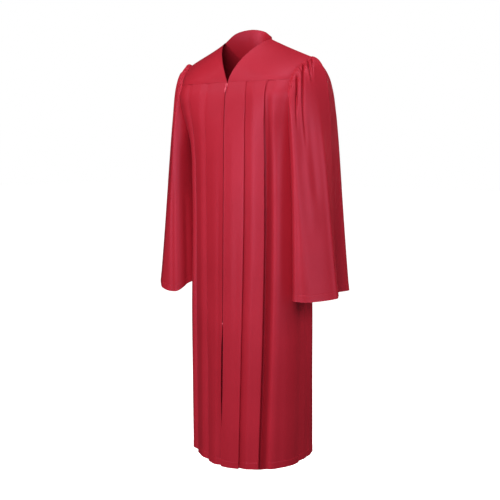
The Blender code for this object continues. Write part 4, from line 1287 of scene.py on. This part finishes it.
def studio():
    """Pale floor, soft lights and white surroundings."""
    bpy.ops.mesh.primitive_plane_add(size=60.0, location=(0.0, 0.0, HEM_Z - FLOOR_DROP))
    floor = bpy.context.object
    floor.name = "studio_floor"
    pale = bpy.data.materials.new("pale_floor")
    _, shader = nodes_of(pale)
    shader.inputs["Base Color"].default_value = (0.90, 0.90, 0.90, 1.0)
    shader.inputs["Roughness"].default_value = 0.9
    shader.inputs["Specular IOR Level"].default_value = 0.1
    shader.inputs["Emission Color"].default_value = WHITE
    shader.inputs["Emission Strength"].default_value = 1.0
    floor.data.materials.append(pale)
    floor.visible_glossy = False
    floor.visible_diffuse = False
    world = bpy.data.worlds.new("studio_world")
    bpy.context.scene.world = world
    world.use_nodes = True
    tree = world.node_tree
    dim = tree.nodes["Background"]
    dim.inputs["Color"].default_value = WHITE
    dim.inputs["Strength"].default_value = AMBIENT
    backdrop = tree.nodes.new("ShaderNodeBackground")
    backdrop.inputs["Color"].default_value = WHITE
    backdrop.inputs["Strength"].default_value = 1.0
    seen = tree.nodes.new("ShaderNodeLightPath")
    mix = tree.nodes.new("ShaderNodeMixShader")
    tree.links.new(seen.outputs["Is Camera Ray"], mix.inputs["Fac"])
    tree.links.new(dim.outputs["Background"], mix.inputs[1])
    tree.links.new(backdrop.outputs["Background"], mix.inputs[2])
    tree.links.new(mix.outputs["Shader"], tree.nodes["World Output"].inputs["Surface"])
    world.cycles_visibility.glossy = False
    for light in LIGHTS:
        area_light(*light)


def area_light(name, place, target, size, power, lit, glossy):
    lamp = bpy.data.lights.new(name, "AREA")
    lamp.shape = "SQUARE"
    lamp.size = size
    lamp.energy = power
    light = bpy.data.objects.new(name, lamp)
    light.location = place
    light.visible_diffuse = lit
    light.visible_glossy = glossy
    aim(light, target)
    bpy.context.scene.collection.objects.link(light)


def aim(thing, target):
    from mathutils import Vector
    direction = Vector(target) - Vector(thing.location)
    thing.rotation_euler = direction.to_track_quat("-Z", "Y").to_euler()


# Camera
VIEW_AZIMUTH = 36.68
VIEW_DISTANCE = 3.0
VIEW_HEIGHT = -0.354
VIEW_TARGET_Z = -0.677
FOCAL_PIXELS = 910.8
IMAGE_PIXELS = 500
CENTRE_SHIFT_PIXELS = 2.0
SENSOR = 36.0


def make_camera():
    data = bpy.data.cameras.new("photo_camera")
    data.sensor_width = SENSOR
    data.lens = FOCAL_PIXELS / IMAGE_PIXELS * SENSOR
    data.shift_x = -CENTRE_SHIFT_PIXELS / IMAGE_PIXELS
    camera = bpy.data.objects.new("photo_camera", data)
    turn = math.radians(VIEW_AZIMUTH)
    camera.location = (VIEW_DISTANCE * math.sin(turn), -VIEW_DISTANCE * math.cos(turn), VIEW_HEIGHT)
    aim(camera, (0.0, 0.0, VIEW_TARGET_Z))
    bpy.context.scene.collection.objects.link(camera)
    bpy.context.scene.camera = camera


def main():
    cloth = woven_material("crimson_cloth", (0.385, 0.0125, 0.0245), (0.435, 0.0150, 0.0290), 320.0, 0.12)
    make_cloth(cloth, thread_material())
    make_zip()
    make_camera()
    studio()
    bpy.context.scene.view_settings.view_transform = "Standard"


main()
